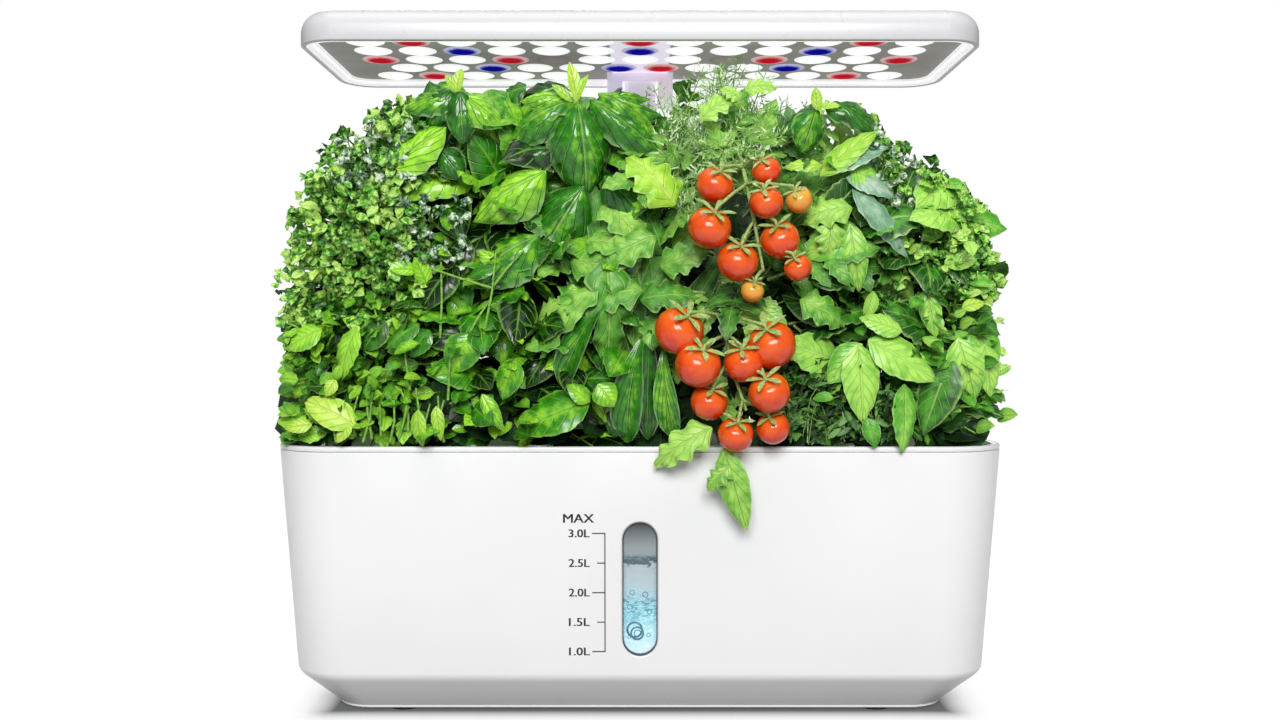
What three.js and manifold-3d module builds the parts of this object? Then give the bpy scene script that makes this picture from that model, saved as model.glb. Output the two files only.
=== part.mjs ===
// Countertop hydroponic garden: a water tank with a planting deck, ten slotted baskets with plants, a small
// circulation pump, and an LED lamp on a telescoping post. Millimetres, +Z up, front towards -Y, origin on the
// table under the middle of the tank.
import * as THREE from 'three';
import { mergeVertices } from 'three/addons/utils/BufferGeometryUtils.js';
import Module from 'manifold-3d';

const wasm = await Module();
wasm.setup();

// Fits and overruns
const gap = 0.3;
const overrun = 2;

// Tank
const tankWidth = 360;
const tankDepth = 114;
const deckTop = 134;
const wallDraft = 8;
const tankWall = 2.6;
const tankFloor = 3;
const rimCorner = 32;
const cornerTightenShare = 0.5;
const skirtHeight = 21;
const skirtInset = 18.7;
const skirtLip = 1.5;
const skirtRound = 4;

// Feet
const footHeight = 1.5;
const footRadius = 7;
const footRecess = 1.2;
const footInset = 12;
const footSpreadShare = 0.84;

// Sight window
const windowWidth = 17;
const windowBelowRim = 33.8;
const windowAboveSkirt = 11;
const windowFlange = 5;
const windowPane = 2;
const gasketThickness = 1.2;

// Planting deck
const lipHeight = 2.4;
const lipRound = 0.9;
const lipWidth = 4.4;
const deckSink = 8;
const deckPlate = 2.4;
const deckFit = 0.5;
const recessDraft = 1.2;
const ribHeight = 5;
const ribWidth = 1.8;
const wireHole = 3;

// Baskets and sponges
const columns = 5;
const rowGap = 6;
const frontMargin = 7.9;
const basketToPost = 1.3;
const basketToFlap = 9;
const basketFlangeHeight = 1.6;
const flangeOverhang = 2.3;
const basketTaper = 3.7;
const basketHeight = 52;
const basketWall = 1.4;
const basketSlots = 2;
const slotWidth = 3.4;
const slotFromFoot = 9;
const slotToMouth = 15;
const spongeBelowMouth = 3;

// Refill port and flap
const portLength = 30;
const portWidth = 13;
const portEdge = 7.5;
const flapOverlap = 2.2;
const flapThickness = 1.8;
const flapKnuckle = 2.3;
const pinRadius = 1;
const earThickness = 2.4;
const hingeGap = 0.4;

// Pump
const pumpWidth = 44;
const pumpHeight = 28;
const pumpFromWall = 1.9;
const pumpCorner = 6;
const pumpStandoff = 2;
const pumpColumnShare = 0.5;
const voluteOverlap = 1;
const voluteClearance = 2;
const impellerRadius = 9;
const impellerHub = 3.4;
const impellerLengthShare = 0.615;
const impellerBlades = 6;
const bladeThickness = 1.2;
const shaftRadius = 1.2;
const shaftGap = 0.35;
const strainerThickness = 2;
const strainerBars = 7;
const strainerBar = 1.8;
const strainerMargin = 4;
const riserRadius = 4;
const riserBore = 2.6;
const riserClearance = 0.7;
const riserSocketWall = 1.8;

// Post
const postToLip = 1.2;
const upperPostWidth = 18.6;
const upperPostDepth = 11;
const upperPostWall = 1.6;
const lowerPostWall = 1.9;
const postSlide = 0.6;
const postCorner = 3;
const lowerPostRise = 102;
const upperPostLift = 16;
const gripHeight = 15;
const gripWall = 2.4;
const gripLip = 2.2;
const postBaseWidth = 56;
const postBaseDepth = 20.4;
const postBaseHeight = 24;
const postBaseCorner = 4;

// Power inlet
const jackRadius = 4.2;
const jackFlange = 5.6;
const jackFlangeThickness = 1.2;
const jackLength = 11;
const jackBore = 2.8;
const jackPin = 0.9;
const jackHeight = 13.5;

// Lamp
const lampWidth = 334;
const lampDepth = 112;
const lampRise = 195;
const lampBehindPost = 16;
const lampThickness = 17.5;
const lampCorner = 19;
const lampRoundIn = 13;
const lampRoundDown = 11;
const lampWall = 2.4;
const lampEdgeRound = 0.8;
const bezelStepShare = 0.45;
const bezelFootWidth = 2.8;
const bezelHeadWidth = 4.6;
const lensPlateThickness = 0.8;
const lensDrop = 2.5;
const lensRadius = 9.6;
const lensCrownShare = 0.86;
const lensColumnPitch = 22.6;
const lensRowPitch = 19.3;
const lensToBezel = 0.5;
const lensFromEnd = 31.4;
const ledBoardThickness = 1.6;
const wireRoom = 3.2;
const plateInset = 1.4;
const bossRadius = 3;
const bossFromEnd = 30;
const bossFromSide = 22.4;

// Lamp bracket
const bracketWidth = 36;
const bracketDepth = 19.4;
const bracketForward = 9.6;
const bracketBelow = 13;
const bracketMouth = 1.4;
const bracketCorner = 2.5;
const bracketFit = 0.3;
const bracketRecessWidth = 62;

// Lamp buttons
const buttonRadius = 5.5;
const buttonFlange = 7;
const buttonFlangeHeight = 1.2;
const buttonProud = 0.9;
const buttonTravel = 0.8;
const buttonFromEnd = 53;
const buttonPitch = 22;
const buttonMargin = 0.6;
const controlBoardThickness = 1.6;
const controlBoardLength = 48;
const controlBoardDepth = 20;

// Plants
const leafToLamp = 4;
const leafLift = 18;
const leafLength = 52;
const leafWidth = 32;
const leafThickness = 1.2;
const petioleWidth = 1.6;
const stemRadius = 2.2;
const cellGap = 1;
const foliageSpread = 9;
const foliageFrontInset = 3;
const foliageBackSpread = 5;
const fruitRadius = 11.7;
const fruitForward = 12;
const stalkRadius = 1.1;
const overhangReach = 7;
const overhangDrop = 37;

// Facet counts
const cornerSteps = 4;
const smallCornerSteps = 2;
const crownSteps = 4;
const roundSides = 12;
const basketSides = 8;
const smallSides = 8;
const lensSides = 6;
const stemSides = 4;
const fruitSides = 6;

// Worked out from the sizes above
const tankTop = deckTop - lipHeight - gap;
const deckFloor = deckTop - deckSink;
const windowTop = tankTop - windowBelowRim;
const windowBottom = skirtHeight + windowAboveSkirt;
const windowHeight = windowTop - windowBottom;
const windowMiddle = (windowTop + windowBottom) / 2;

// The post stands inside the back lip, and the two rows of baskets share what is left in front of it
const recessEdge = lipWidth + recessDraft;
const lowerPostWidth = upperPostWidth + 2 * (postSlide + lowerPostWall);
const lowerPostDepth = upperPostDepth + 2 * (postSlide + lowerPostWall);
const postMiddle = tankDepth / 2 - recessEdge - postToLip - postBaseDepth / 2;
const rowsFront = recessEdge + frontMargin - tankDepth / 2;
const rowsBack = postMiddle - postBaseDepth / 2 - basketToPost;
const basketFlange = (rowsBack - rowsFront - rowGap) / 4;
const basketMouth = basketFlange - flangeOverhang;
const basketFoot = basketMouth - basketTaper;
const frontRow = rowsFront + basketFlange;
const backRow = rowsBack - basketFlange;
const columnEnd = recessEdge + portEdge + portWidth + 2 * flapOverlap + basketToFlap + basketFlange;
const columnPitch = (tankWidth - 2 * columnEnd) / (columns - 1);
const jackPlace = (lowerPostWidth + postBaseWidth) / 4;

// The lamp hangs on the post, and its inner pieces are stacked down from its ceiling
const lowerPostTop = deckTop + lowerPostRise;
const upperPostFoot = deckFloor + upperPostLift;
const lampBottom = deckTop + lampRise;
const lampTop = lampBottom + lampThickness;
const lampMiddle = postMiddle + lampBehindPost - lampDepth / 2;
const ceiling = lampTop - lampWall;
const buttonFlangeTop = ceiling - gap;
const controlTop = buttonFlangeTop - buttonFlangeHeight - buttonTravel - gap;
const ledBoardTop = controlTop - controlBoardThickness - wireRoom;
const bracketTop = ledBoardTop + bracketMouth;
const plateTop = ledBoardTop - ledBoardThickness - gap;
const plateLow = plateTop - lensPlateThickness;
const bezelHeight = plateLow - gap - lampBottom;
const lensFromSide = lampWall + gap + bezelHeadWidth + lensToBezel + lensRadius;
const buttonRow = lampMiddle - lampDepth / 2 + lampWall + lampRoundIn + buttonFlange + buttonMargin;
const buttonPlaces = [1, 0].map((step) => lampWidth / 2 - buttonFromEnd - step * buttonPitch);

// The pump fills the tank's floor between its front wall and as far behind its riser
const riserX = columnPitch * pumpColumnShare;
const riserY = (frontRow + backRow) / 2;
const floorReach = tankDepth / 2 - wallDraft - skirtInset - tankWall;
const pumpDepth = 2 * (floorReach + riserY - strainerThickness - gap - pumpFromWall);
const pumpTop = footHeight + tankFloor + pumpStandoff + pumpHeight;
const voluteRadius = impellerRadius + voluteClearance;
const voluteDepth = pumpDepth / 2 - riserRadius + voluteOverlap;
const impellerLength = voluteDepth * impellerLengthShare;
const riserSeat = pumpHeight / 2 - impellerRadius - riserClearance;

const leafCeiling = lampBottom - leafToLamp;
const leafFloor = deckTop + leafLift;
const foliageSide = tankWidth / 2 + foliageSpread;
const foliageFront = tankDepth / 2 - foliageFrontInset;
const foliageBack = tankDepth / 2 + foliageBackSpread;
const plasticWhite = { color: 0xf2f2f3, roughness: 0.38, metalness: 0 };

function draftAt(z) {
  return wallDraft * (tankTop - z) / (tankTop - skirtHeight);
}

// One closed loop of points round a rounded rectangle, anticlockwise seen from above
function roundedRing(width, depth, corner, z, midX = 0, midY = 0, steps = smallCornerSteps) {
  const radius = Math.min(corner, width / 2, depth / 2);
  const points = [];
  for (let side = 0; side < 4; side += 1) {
    const signX = side === 0 || side === 3 ? 1 : -1;
    const signY = side < 2 ? 1 : -1;
    for (let step = 0; step <= steps; step += 1) {
      const angle = (side + step / steps) * Math.PI / 2;
      const x = midX + signX * (width / 2 - radius) + radius * Math.cos(angle);
      const y = midY + signY * (depth / 2 - radius) + radius * Math.sin(angle);
      points.push(new THREE.Vector3(x, y, z));
    }
  }
  return points;
}

function geometryOf(positions, indices) {
  const geometry = new THREE.BufferGeometry();
  geometry.setAttribute('position', new THREE.Float32BufferAttribute(positions, 3));
  geometry.setIndex(indices);
  return geometry;
}

// A closed skin through a stack of loops with equal point counts. With closed true the last loop joins the
// first, as on a frame; otherwise both ends are capped.
function loft(rings, closed = false) {
  const count = rings[0].length;
  const positions = rings.flat().flatMap((point) => [point.x, point.y, point.z]);
  const indices = [];
  const bands = closed ? rings.length : rings.length - 1;
  for (let band = 0; band < bands; band += 1) {
    const low = band * count;
    const high = ((band + 1) % rings.length) * count;
    for (let i = 0; i < count; i += 1) {
      const j = (i + 1) % count;
      indices.push(low + i, low + j, high + j, low + i, high + j, high + i);
    }
  }
  if (!closed) {
    const last = (rings.length - 1) * count;
    for (let i = 1; i < count - 1; i += 1) {
      indices.push(0, i + 1, i);
      indices.push(last, last + i, last + i + 1);
    }
  }
  return geometryOf(positions, indices);
}

function toSolid(geometry) {
  const plain = geometry.clone();
  for (const name of Object.keys(plain.attributes)) {
    if (name !== 'position') plain.deleteAttribute(name);
  }
  const merged = mergeVertices(plain, 1e-4);
  const mesh = new wasm.Mesh({
    numProp: 3,
    vertProperties: Float32Array.from(merged.attributes.position.array),
    triVerts: Uint32Array.from(merged.index.array),
  });
  return new wasm.Manifold(mesh);
}

function fromSolid(solid) {
  const mesh = solid.getMesh();
  return geometryOf(Array.from(mesh.vertProperties), Array.from(mesh.triVerts));
}

function cut(geometry, tools) {
  return fromSolid(tools.reduce((solid, tool) => solid.subtract(toSolid(tool)), toSolid(geometry)));
}

function join(geometries) {
  const [first, ...rest] = geometries;
  return fromSolid(rest.reduce((solid, other) => solid.add(toSolid(other)), toSolid(first)));
}

function box(width, depth, low, high, midX = 0, midY = 0) {
  const geometry = new THREE.BoxGeometry(width, depth, high - low);
  geometry.translate(midX, midY, (low + high) / 2);
  return geometry;
}

// An upright cylinder or cone from low to high
function drum(footR, headR, low, high, midX = 0, midY = 0, sides = roundSides) {
  const geometry = new THREE.CylinderGeometry(headR, footR, high - low, sides);
  geometry.rotateX(Math.PI / 2);
  geometry.translate(midX, midY, (low + high) / 2);
  return geometry;
}

// A cylinder lying front to back, from y = near to y = far
function lyingDrum(radius, near, far, midX, midZ, sides = roundSides) {
  const geometry = new THREE.CylinderGeometry(radius, radius, far - near, sides);
  geometry.translate(midX, (near + far) / 2, midZ);
  return geometry;
}

function turned(profile, sides) {
  const points = profile.map(([r, z]) => new THREE.Vector2(r, z));
  const geometry = new THREE.LatheGeometry(points, sides);
  geometry.rotateX(Math.PI / 2);
  return geometry;
}

function prism(width, depth, corner, low, high, midX = 0, midY = 0) {
  return loft([low, high].map((z) => roundedRing(width, depth, corner, z, midX, midY)));
}

// A rounded rectangular tube open at both ends
function tube(width, depth, corner, wall, low, high, midX, midY) {
  const inner = Math.max(corner - wall, wall / 2);
  return loft([
    roundedRing(width, depth, corner, low, midX, midY),
    roundedRing(width, depth, corner, high, midX, midY),
    roundedRing(width - 2 * wall, depth - 2 * wall, inner, high, midX, midY),
    roundedRing(width - 2 * wall, depth - 2 * wall, inner, low, midX, midY),
  ], true);
}

const garden = new THREE.Group();

function add(name, geometry, finish) {
  const mesh = new THREE.Mesh(geometry, new THREE.MeshStandardMaterial(finish));
  mesh.name = name;
  garden.add(mesh);
  return mesh;
}

// The tank's plan at a given inset from the rim
function tankRing(inset, z, wall = 0) {
  const corner = rimCorner - inset * cornerTightenShare - wall;
  const width = tankWidth - 2 * (inset + wall);
  const depth = tankDepth - 2 * (inset + wall);
  return roundedRing(width, depth, corner, z, 0, 0, cornerSteps);
}

// Tank: one skin up the outside, over the rim and down the inside, with the window and foot recesses cut
function skirtRings() {
  const baseInset = wallDraft + skirtInset;
  const lipTop = footHeight + skirtLip;
  const slope = skirtInset / (skirtHeight - lipTop);
  const below = new THREE.Vector2(wallDraft + skirtRound * slope, skirtHeight - skirtRound);
  const edge = new THREE.Vector2(wallDraft, skirtHeight);
  const above = new THREE.Vector2(draftAt(skirtHeight + skirtRound), skirtHeight + skirtRound);
  const bend = new THREE.QuadraticBezierCurve(below, edge, above).getPoints(3);
  const rings = [tankRing(baseInset, footHeight), tankRing(baseInset, lipTop)];
  return rings.concat(bend.map((point) => tankRing(point.x, point.y)));
}

function capsule(width, height, near, far) {
  const radius = width / 2;
  const straight = height / 2 - radius;
  const shape = new THREE.Shape();
  shape.absarc(0, straight, radius, 0, Math.PI, false);
  shape.absarc(0, -straight, radius, Math.PI, 2 * Math.PI, false);
  const geometry = new THREE.ExtrudeGeometry(shape, {
    depth: far - near, bevelEnabled: false, curveSegments: cornerSteps,
  });
  geometry.rotateX(Math.PI / 2);
  geometry.translate(0, far, windowMiddle);
  return geometry;
}

// Leans a piece that was built behind y = 0 against the tank's leaning front wall
function onFrontWall(geometry) {
  const places = geometry.attributes.position;
  for (let i = 0; i < places.count; i += 1) {
    places.setY(i, places.getY(i) - tankDepth / 2 + draftAt(places.getZ(i)));
  }
  return geometry;
}

function footPlaces() {
  const across = (tankWidth / 2 - wallDraft - skirtInset - footInset) * footSpreadShare;
  const along = tankDepth / 2 - wallDraft - skirtInset - footRadius - skirtLip;
  return [[-across, -along], [across, -along], [across, along], [-across, along]];
}

function makeTank() {
  const floorTop = footHeight + tankFloor;
  const innerBend = skirtHeight + tankWall / 2;
  const shell = loft([
    ...skirtRings(),
    tankRing(0, tankTop),
    tankRing(0, tankTop, tankWall),
    tankRing(draftAt(innerBend), innerBend, tankWall),
    tankRing(wallDraft + skirtInset, floorTop, tankWall),
  ]);
  const slot = onFrontWall(capsule(windowWidth, windowHeight, -overrun, tankWall + overrun));
  const recesses = footPlaces().map(([x, y]) => drum(
    footRadius + gap, footRadius + gap, footHeight - overrun, footHeight + footRecess, x, y,
  ));
  add('tank_shell', cut(shell, [slot, ...recesses]), plasticWhite);

  const rubber = { color: 0x2b2b2d, roughness: 0.85, metalness: 0 };
  const names = ['foot_front_left', 'foot_front_right', 'foot_back_right', 'foot_back_left'];
  footPlaces().forEach(([x, y], i) => {
    const top = footHeight + footRecess - gap;
    add(names[i], drum(footRadius, footRadius, 0, top, x, y), rubber);
  });
}

function makeWindow() {
  const gasketNear = tankWall + gap;
  const flangeNear = gasketNear + gasketThickness + gap;
  const wide = windowWidth + 2 * windowFlange;
  const high = windowHeight + 2 * windowFlange;
  const plug = capsule(windowWidth - 2 * gap, windowHeight - 2 * gap, gap, flangeNear + windowPane / 2);
  const flange = capsule(wide, high, flangeNear, flangeNear + windowPane);
  const clear = { color: 0xcfe6ea, roughness: 0.08, metalness: 0, transparent: true, opacity: 0.4 };
  add('window_pane', onFrontWall(join([plug, flange])), clear);

  const ring = capsule(wide, high, gasketNear, gasketNear + gasketThickness);
  const hole = capsule(windowWidth, windowHeight, -overrun, flangeNear + overrun);
  add('window_gasket', onFrontWall(cut(ring, [hole])), { color: 0x3a3d40, roughness: 0.8, metalness: 0 });
}

// Where each basket hangs, front row first, left to right
function basketPlaces() {
  const rows = [frontRow, backRow];
  const places = [];
  for (const y of rows) {
    for (let i = 0; i < columns; i += 1) {
      places.push(new THREE.Vector2((i - (columns - 1) / 2) * columnPitch, y));
    }
  }
  return places;
}

const portMiddle = -(tankWidth / 2 - lipWidth - recessDraft - portEdge - portWidth / 2);
const hingeX = portMiddle - portWidth / 2 - flapOverlap;
const hingeZ = deckFloor + gap + flapKnuckle;

// Deck: a sunk tray whose lip rests on the tank's rim
function makeDeck() {
  const under = deckFloor - deckPlate;
  const lipUnder = deckTop - lipHeight;
  const skirt = tankWall + deckFit;
  const tray = loft([
    tankRing(draftAt(under), under, skirt),
    tankRing(draftAt(tankTop), lipUnder, skirt),
    tankRing(0, lipUnder),
    tankRing(0, deckTop - lipRound),
    tankRing(0, deckTop, lipRound),
    tankRing(0, deckTop, lipWidth),
    tankRing(0, deckFloor, lipWidth + recessDraft),
  ]);
  const holes = basketPlaces().map(({ x, y }) => drum(
    basketMouth + gap, basketMouth + gap, under - overrun, deckFloor + overrun, x, y, basketSides,
  ));
  const port = prism(portWidth, portLength, wireHole, under - overrun, deckFloor + overrun, portMiddle, 0);
  const wires = drum(wireHole, wireHole, under - overrun, deckFloor + overrun, 0, postMiddle, smallSides);

  // Cross ribs under the plate, between the columns of baskets
  const ribDepth = tankDepth - 2 * (skirt + draftAt(under - ribHeight) + tankWall);
  const ribs = [];
  for (let i = 0; i < columns - 1; i += 1) {
    const x = (i - (columns - 2) / 2) * columnPitch;
    ribs.push(box(ribWidth, ribDepth, under - ribHeight, under + deckPlate / 2, x));
  }
  const socketR = riserRadius + gap + riserSocketWall;
  const socket = drum(socketR, socketR, under - riserSeat, under + deckPlate / 2, riserX, riserY);
  const socketBore = drum(
    riserRadius + gap, riserRadius + gap, under - riserSeat - overrun, under, riserX, riserY,
  );

  // Two ears that hold the flap's pin
  const earReach = portLength / 2 + flapOverlap + earThickness / 2 + hingeGap;
  const ears = [-earReach, earReach].map((y) => box(
    2 * flapKnuckle, earThickness, deckFloor - deckPlate / 2, hingeZ + flapKnuckle, hingeX, y,
  ));
  const pinHole = lyingDrum(
    pinRadius + gap, -earReach - earThickness / 2 - overrun, earReach + earThickness / 2 + overrun,
    hingeX, hingeZ, smallSides,
  );
  add('grow_deck', cut(join([tray, ...ribs, socket, ...ears]), [...holes, port, wires, socketBore, pinHole]),
    plasticWhite);
}

// Flap: a plate over the port with one knuckle along its outer edge, and the pin through it
function makeFlap() {
  const long = portLength + 2 * flapOverlap;
  const wide = portWidth + 2 * flapOverlap;
  const low = deckFloor + gap;
  const plate = prism(wide, long, flapOverlap, low, low + flapThickness, portMiddle, 0);
  const knuckle = lyingDrum(flapKnuckle, -long / 2, long / 2, hingeX, hingeZ);
  const tab = prism(flapOverlap * 2, long / 3, flapOverlap, low, low + flapThickness,
    portMiddle + wide / 2, 0);
  const bore = lyingDrum(pinRadius + hingeGap, -long, long, hingeX, hingeZ);
  add('refill_flap', cut(join([plate, knuckle, tab]), [bore]), plasticWhite);

  const reach = portLength / 2 + flapOverlap + hingeGap + earThickness;
  const steel = { color: 0xb8babd, roughness: 0.3, metalness: 1 };
  add('flap_hinge_pin', lyingDrum(pinRadius, -reach, reach, hingeX, hingeZ, smallSides), steel);
}

// Baskets: tapered cups with a flange, slotted down the sides
function basketRadius(above) {
  return basketFoot + (basketMouth - basketFoot) * above / basketHeight;
}

function makeBaskets() {
  const mouth = deckFloor + gap;
  const foot = mouth - basketHeight;
  const innerFoot = basketRadius(basketWall) - basketWall;
  const cup = turned([
    [0, foot], [basketFoot, foot], [basketMouth, mouth], [basketFlange, mouth],
    [basketFlange, mouth + basketFlangeHeight], [basketMouth - basketWall, mouth + basketFlangeHeight],
    [innerFoot, foot + basketWall], [0, foot + basketWall],
  ], basketSides);
  const tools = [drum(slotWidth, slotWidth, foot - overrun, foot + basketWall + overrun, 0, 0, smallSides)];
  for (let i = 0; i < basketSlots; i += 1) {
    const slot = box(2 * basketMouth + overrun, slotWidth, foot + slotFromFoot, mouth - slotToMouth);
    slot.rotateZ((i + 1 / 4) * Math.PI / basketSlots);
    tools.push(slot);
  }
  const basket = cut(cup, tools);

  const spongeFoot = foot + basketWall + gap;
  const spongeHead = mouth + basketFlangeHeight - spongeBelowMouth;
  const lowR = basketRadius(spongeFoot - foot) - basketWall - gap;
  const highR = basketRadius(spongeHead - foot) - basketWall - gap;
  const sponge = turned(
    [[0, spongeFoot], [lowR, spongeFoot], [highR, spongeHead], [0, spongeHead]], basketSides,
  );
  basketPlaces().forEach(({ x, y }, i) => {
    const white = add(`grow_basket_${i + 1}`, basket, { color: 0xe9e9ea, roughness: 0.5, metalness: 0 });
    white.position.set(x, y, 0);
    const foam = add(`grow_sponge_${i + 1}`, sponge, { color: 0x5a4634, roughness: 0.95, metalness: 0 });
    foam.position.set(x, y, 0);
  });
  return spongeHead;
}

// Pump: a housing on the tank's floor with an open volute, impeller, strainer and riser pipe
function makePump() {
  const black = { color: 0x1f2022, roughness: 0.5, metalness: 0 };
  const low = footHeight + tankFloor + pumpStandoff;
  const midZ = low + pumpHeight / 2;
  const front = riserY - pumpDepth / 2;
  const body = prism(pumpWidth, pumpDepth, pumpCorner, low, pumpTop, riserX, riserY);
  const volute = lyingDrum(voluteRadius, front - overrun, front + voluteDepth, riserX, midZ);
  const outlet = drum(
    riserRadius + gap, riserRadius + gap, pumpTop - riserSeat, pumpTop + overrun, riserX, riserY,
  );
  const shaftTip = front + voluteDepth - impellerLength - shaftGap - gap;
  const shaft = lyingDrum(shaftRadius, shaftTip, front + voluteDepth + overrun, riserX, midZ, smallSides);
  add('pump_housing', join([cut(body, [volute, outlet]), shaft]), black);

  const back = front + voluteDepth - shaftGap;
  const hub = lyingDrum(impellerHub, back - impellerLength, back, riserX, midZ);
  const blades = [];
  for (let i = 0; i < impellerBlades; i += 1) {
    const reach = impellerRadius - impellerHub / 2;
    const blade = new THREE.BoxGeometry(reach, impellerLength, bladeThickness);
    blade.translate(impellerHub / 2 + reach / 2, 0, 0);
    blade.rotateY(i * 2 * Math.PI / impellerBlades);
    blade.translate(riserX, back - impellerLength / 2, midZ);
    blades.push(blade);
  }
  const bore = lyingDrum(
    shaftRadius + shaftGap, back - impellerLength - overrun, back + overrun, riserX, midZ, smallSides,
  );
  add('pump_impeller', cut(join([hub, ...blades]), [bore]), { color: 0xd9dadc, roughness: 0.4, metalness: 0 });

  const grilleWidth = pumpWidth - 2 * strainerMargin;
  const grilleHigh = pumpHeight - strainerMargin;
  const grille = new THREE.BoxGeometry(grilleWidth, strainerThickness, grilleHigh);
  const grilleY = front - gap - strainerThickness / 2;
  grille.translate(riserX, grilleY, midZ);
  const slots = [];
  const pitch = (grilleHigh - strainerBar) / strainerBars;
  for (let i = 0; i < strainerBars; i += 1) {
    const slot = new THREE.BoxGeometry(
      grilleWidth - 2 * strainerMargin, strainerThickness + overrun, pitch - strainerBar,
    );
    slot.translate(riserX, grilleY, midZ + (i - (strainerBars - 1) / 2) * pitch);
    slots.push(slot);
  }
  add('pump_strainer', cut(grille, slots), black);

  const pipeLow = pumpTop - riserSeat + gap;
  const pipeHigh = deckFloor - deckPlate - gap;
  const pipe = drum(riserRadius, riserRadius, pipeLow, pipeHigh, riserX, riserY);
  const pipeBore = drum(riserBore, riserBore, pipeLow - overrun, pipeHigh + overrun, riserX, riserY);
  add('pump_riser', cut(pipe, [pipeBore]), { color: 0xdfe0e2, roughness: 0.35, metalness: 0 });
}

// Post: base block on the deck, lower tube, grip collar and the upper tube that slides in it
function makePost() {
  const baseLow = deckFloor + gap;
  const baseHigh = deckFloor + postBaseHeight;
  const channel = prism(
    lowerPostWidth + 2 * gap, lowerPostDepth + 2 * gap, postCorner, baseLow - overrun, baseHigh + overrun,
    0, postMiddle,
  );
  const rear = postMiddle + postBaseDepth / 2;
  const jackZ = baseLow + jackHeight;
  const jackHole = lyingDrum(
    jackRadius + gap, rear - jackLength - gap, rear + overrun, jackPlace, jackZ,
  );
  const block = prism(postBaseWidth, postBaseDepth, postBaseCorner, baseLow, baseHigh, 0, postMiddle);
  add('post_base', cut(block, [channel, jackHole]), plasticWhite);

  const jack = turned([
    [0, 0], [jackRadius, 0], [jackRadius, jackLength], [jackFlange, jackLength],
    [jackFlange, jackLength + jackFlangeThickness], [jackBore, jackLength + jackFlangeThickness],
    [jackBore, jackFlangeThickness], [jackPin, jackFlangeThickness],
    [jackPin, jackLength - jackPin], [0, jackLength],
  ], smallSides);
  jack.rotateX(-Math.PI / 2);
  jack.translate(jackPlace, rear - jackLength + gap, jackZ);
  add('power_inlet', jack, { color: 0x202124, roughness: 0.5, metalness: 0 });

  const postWhite = { color: 0xeeeeef, roughness: 0.35, metalness: 0.1 };
  add('lower_post', tube(
    lowerPostWidth, lowerPostDepth, postCorner, lowerPostWall, baseLow, lowerPostTop, 0, postMiddle,
  ), postWhite);

  const gripWidth = lowerPostWidth + 2 * (gap + gripWall);
  const gripDepth = lowerPostDepth + 2 * (gap + gripWall);
  const gripTop = lowerPostTop + gap + gripLip;
  const gripBody = prism(
    gripWidth, gripDepth, postCorner + gripWall, gripTop - gripHeight, gripTop, 0, postMiddle,
  );
  const sleeve = prism(
    lowerPostWidth + 2 * gap, lowerPostDepth + 2 * gap, postCorner, gripTop - gripHeight - overrun,
    lowerPostTop + gap, 0, postMiddle,
  );
  const throat = prism(
    upperPostWidth + 2 * gap, upperPostDepth + 2 * gap, postCorner, gripTop - gripHeight, gripTop + overrun,
    0, postMiddle,
  );
  add('post_grip_collar', cut(gripBody, [sleeve, throat]), plasticWhite);

  const upperTop = bracketTop - bracketMouth - gap;
  add('upper_post', tube(
    upperPostWidth, upperPostDepth, postCorner, upperPostWall, upperPostFoot, upperTop, 0, postMiddle,
  ), postWhite);
}

// Lamp
function lampRing(inset, z) {
  const corner = Math.max(lampCorner - inset, lampWall);
  return roundedRing(lampWidth - 2 * inset, lampDepth - 2 * inset, corner, z, 0, lampMiddle, cornerSteps);
}

function lampCrown(inset, top, roundDown, roundIn) {
  const rings = [];
  for (let step = 0; step <= crownSteps; step += 1) {
    const angle = step / crownSteps * Math.PI / 2;
    const z = top - roundDown + roundDown * Math.sin(angle);
    rings.push(lampRing(inset + roundIn * (1 - Math.cos(angle)), z));
  }
  return rings;
}

function bossPlaces() {
  const across = lampWidth / 2 - bossFromEnd;
  const near = lampMiddle - lampDepth / 2 + bossFromSide;
  const far = lampMiddle + lampDepth / 2 - bossFromSide;
  return [[-across, near], [across, near], [across, far], [-across, far]];
}

function buttonsMiddle() {
  return (buttonPlaces[0] + buttonPlaces[1]) / 2;
}

function makeHousing() {
  const inside = lampCrown(lampWall, ceiling, lampRoundDown, lampRoundIn).reverse();
  const outside = lampCrown(0, lampTop, lampRoundDown, lampRoundIn);
  const shell = loft([
    ...inside,
    lampRing(lampWall, lampBottom),
    lampRing(lampEdgeRound, lampBottom),
    lampRing(0, lampBottom + lampEdgeRound),
    ...outside,
  ]);
  const bosses = bossPlaces().map(([x, y]) => drum(
    bossRadius, bossRadius, ledBoardTop + gap, ceiling + lampWall / 2, x, y, smallSides,
  ));
  const standoffs = [-1, 1].map((side) => drum(
    bossRadius / 2, bossRadius / 2, controlTop + gap, ceiling + lampWall / 2,
    buttonsMiddle() + side * (controlBoardLength / 2 - bossRadius / 2), buttonRow, smallSides,
  ));
  const bracketBosses = [-1, 1].map((side) => drum(
    bossRadius, bossRadius, bracketTop + gap, ceiling + lampWall / 2,
    side * (bracketWidth / 2 - bossRadius), postMiddle, smallSides,
  ));
  const holes = buttonPlaces.map((x) => drum(
    buttonRadius + gap, buttonRadius + gap, ceiling - overrun, lampTop + overrun, x, buttonRow,
  ));
  add('lamp_housing', cut(join([shell, ...bosses, ...standoffs, ...bracketBosses]), holes), plasticWhite);
}

// A tool that clears the bracket at the back of the lamp's flat inner pieces
function bracketTool(width, low, high) {
  const near = postMiddle - bracketForward - gap;
  const far = lampMiddle + lampDepth / 2 - lampWall - gap - bezelFootWidth / 2;
  return box(width, far - near, low, high, 0, (near + far) / 2);
}

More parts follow.
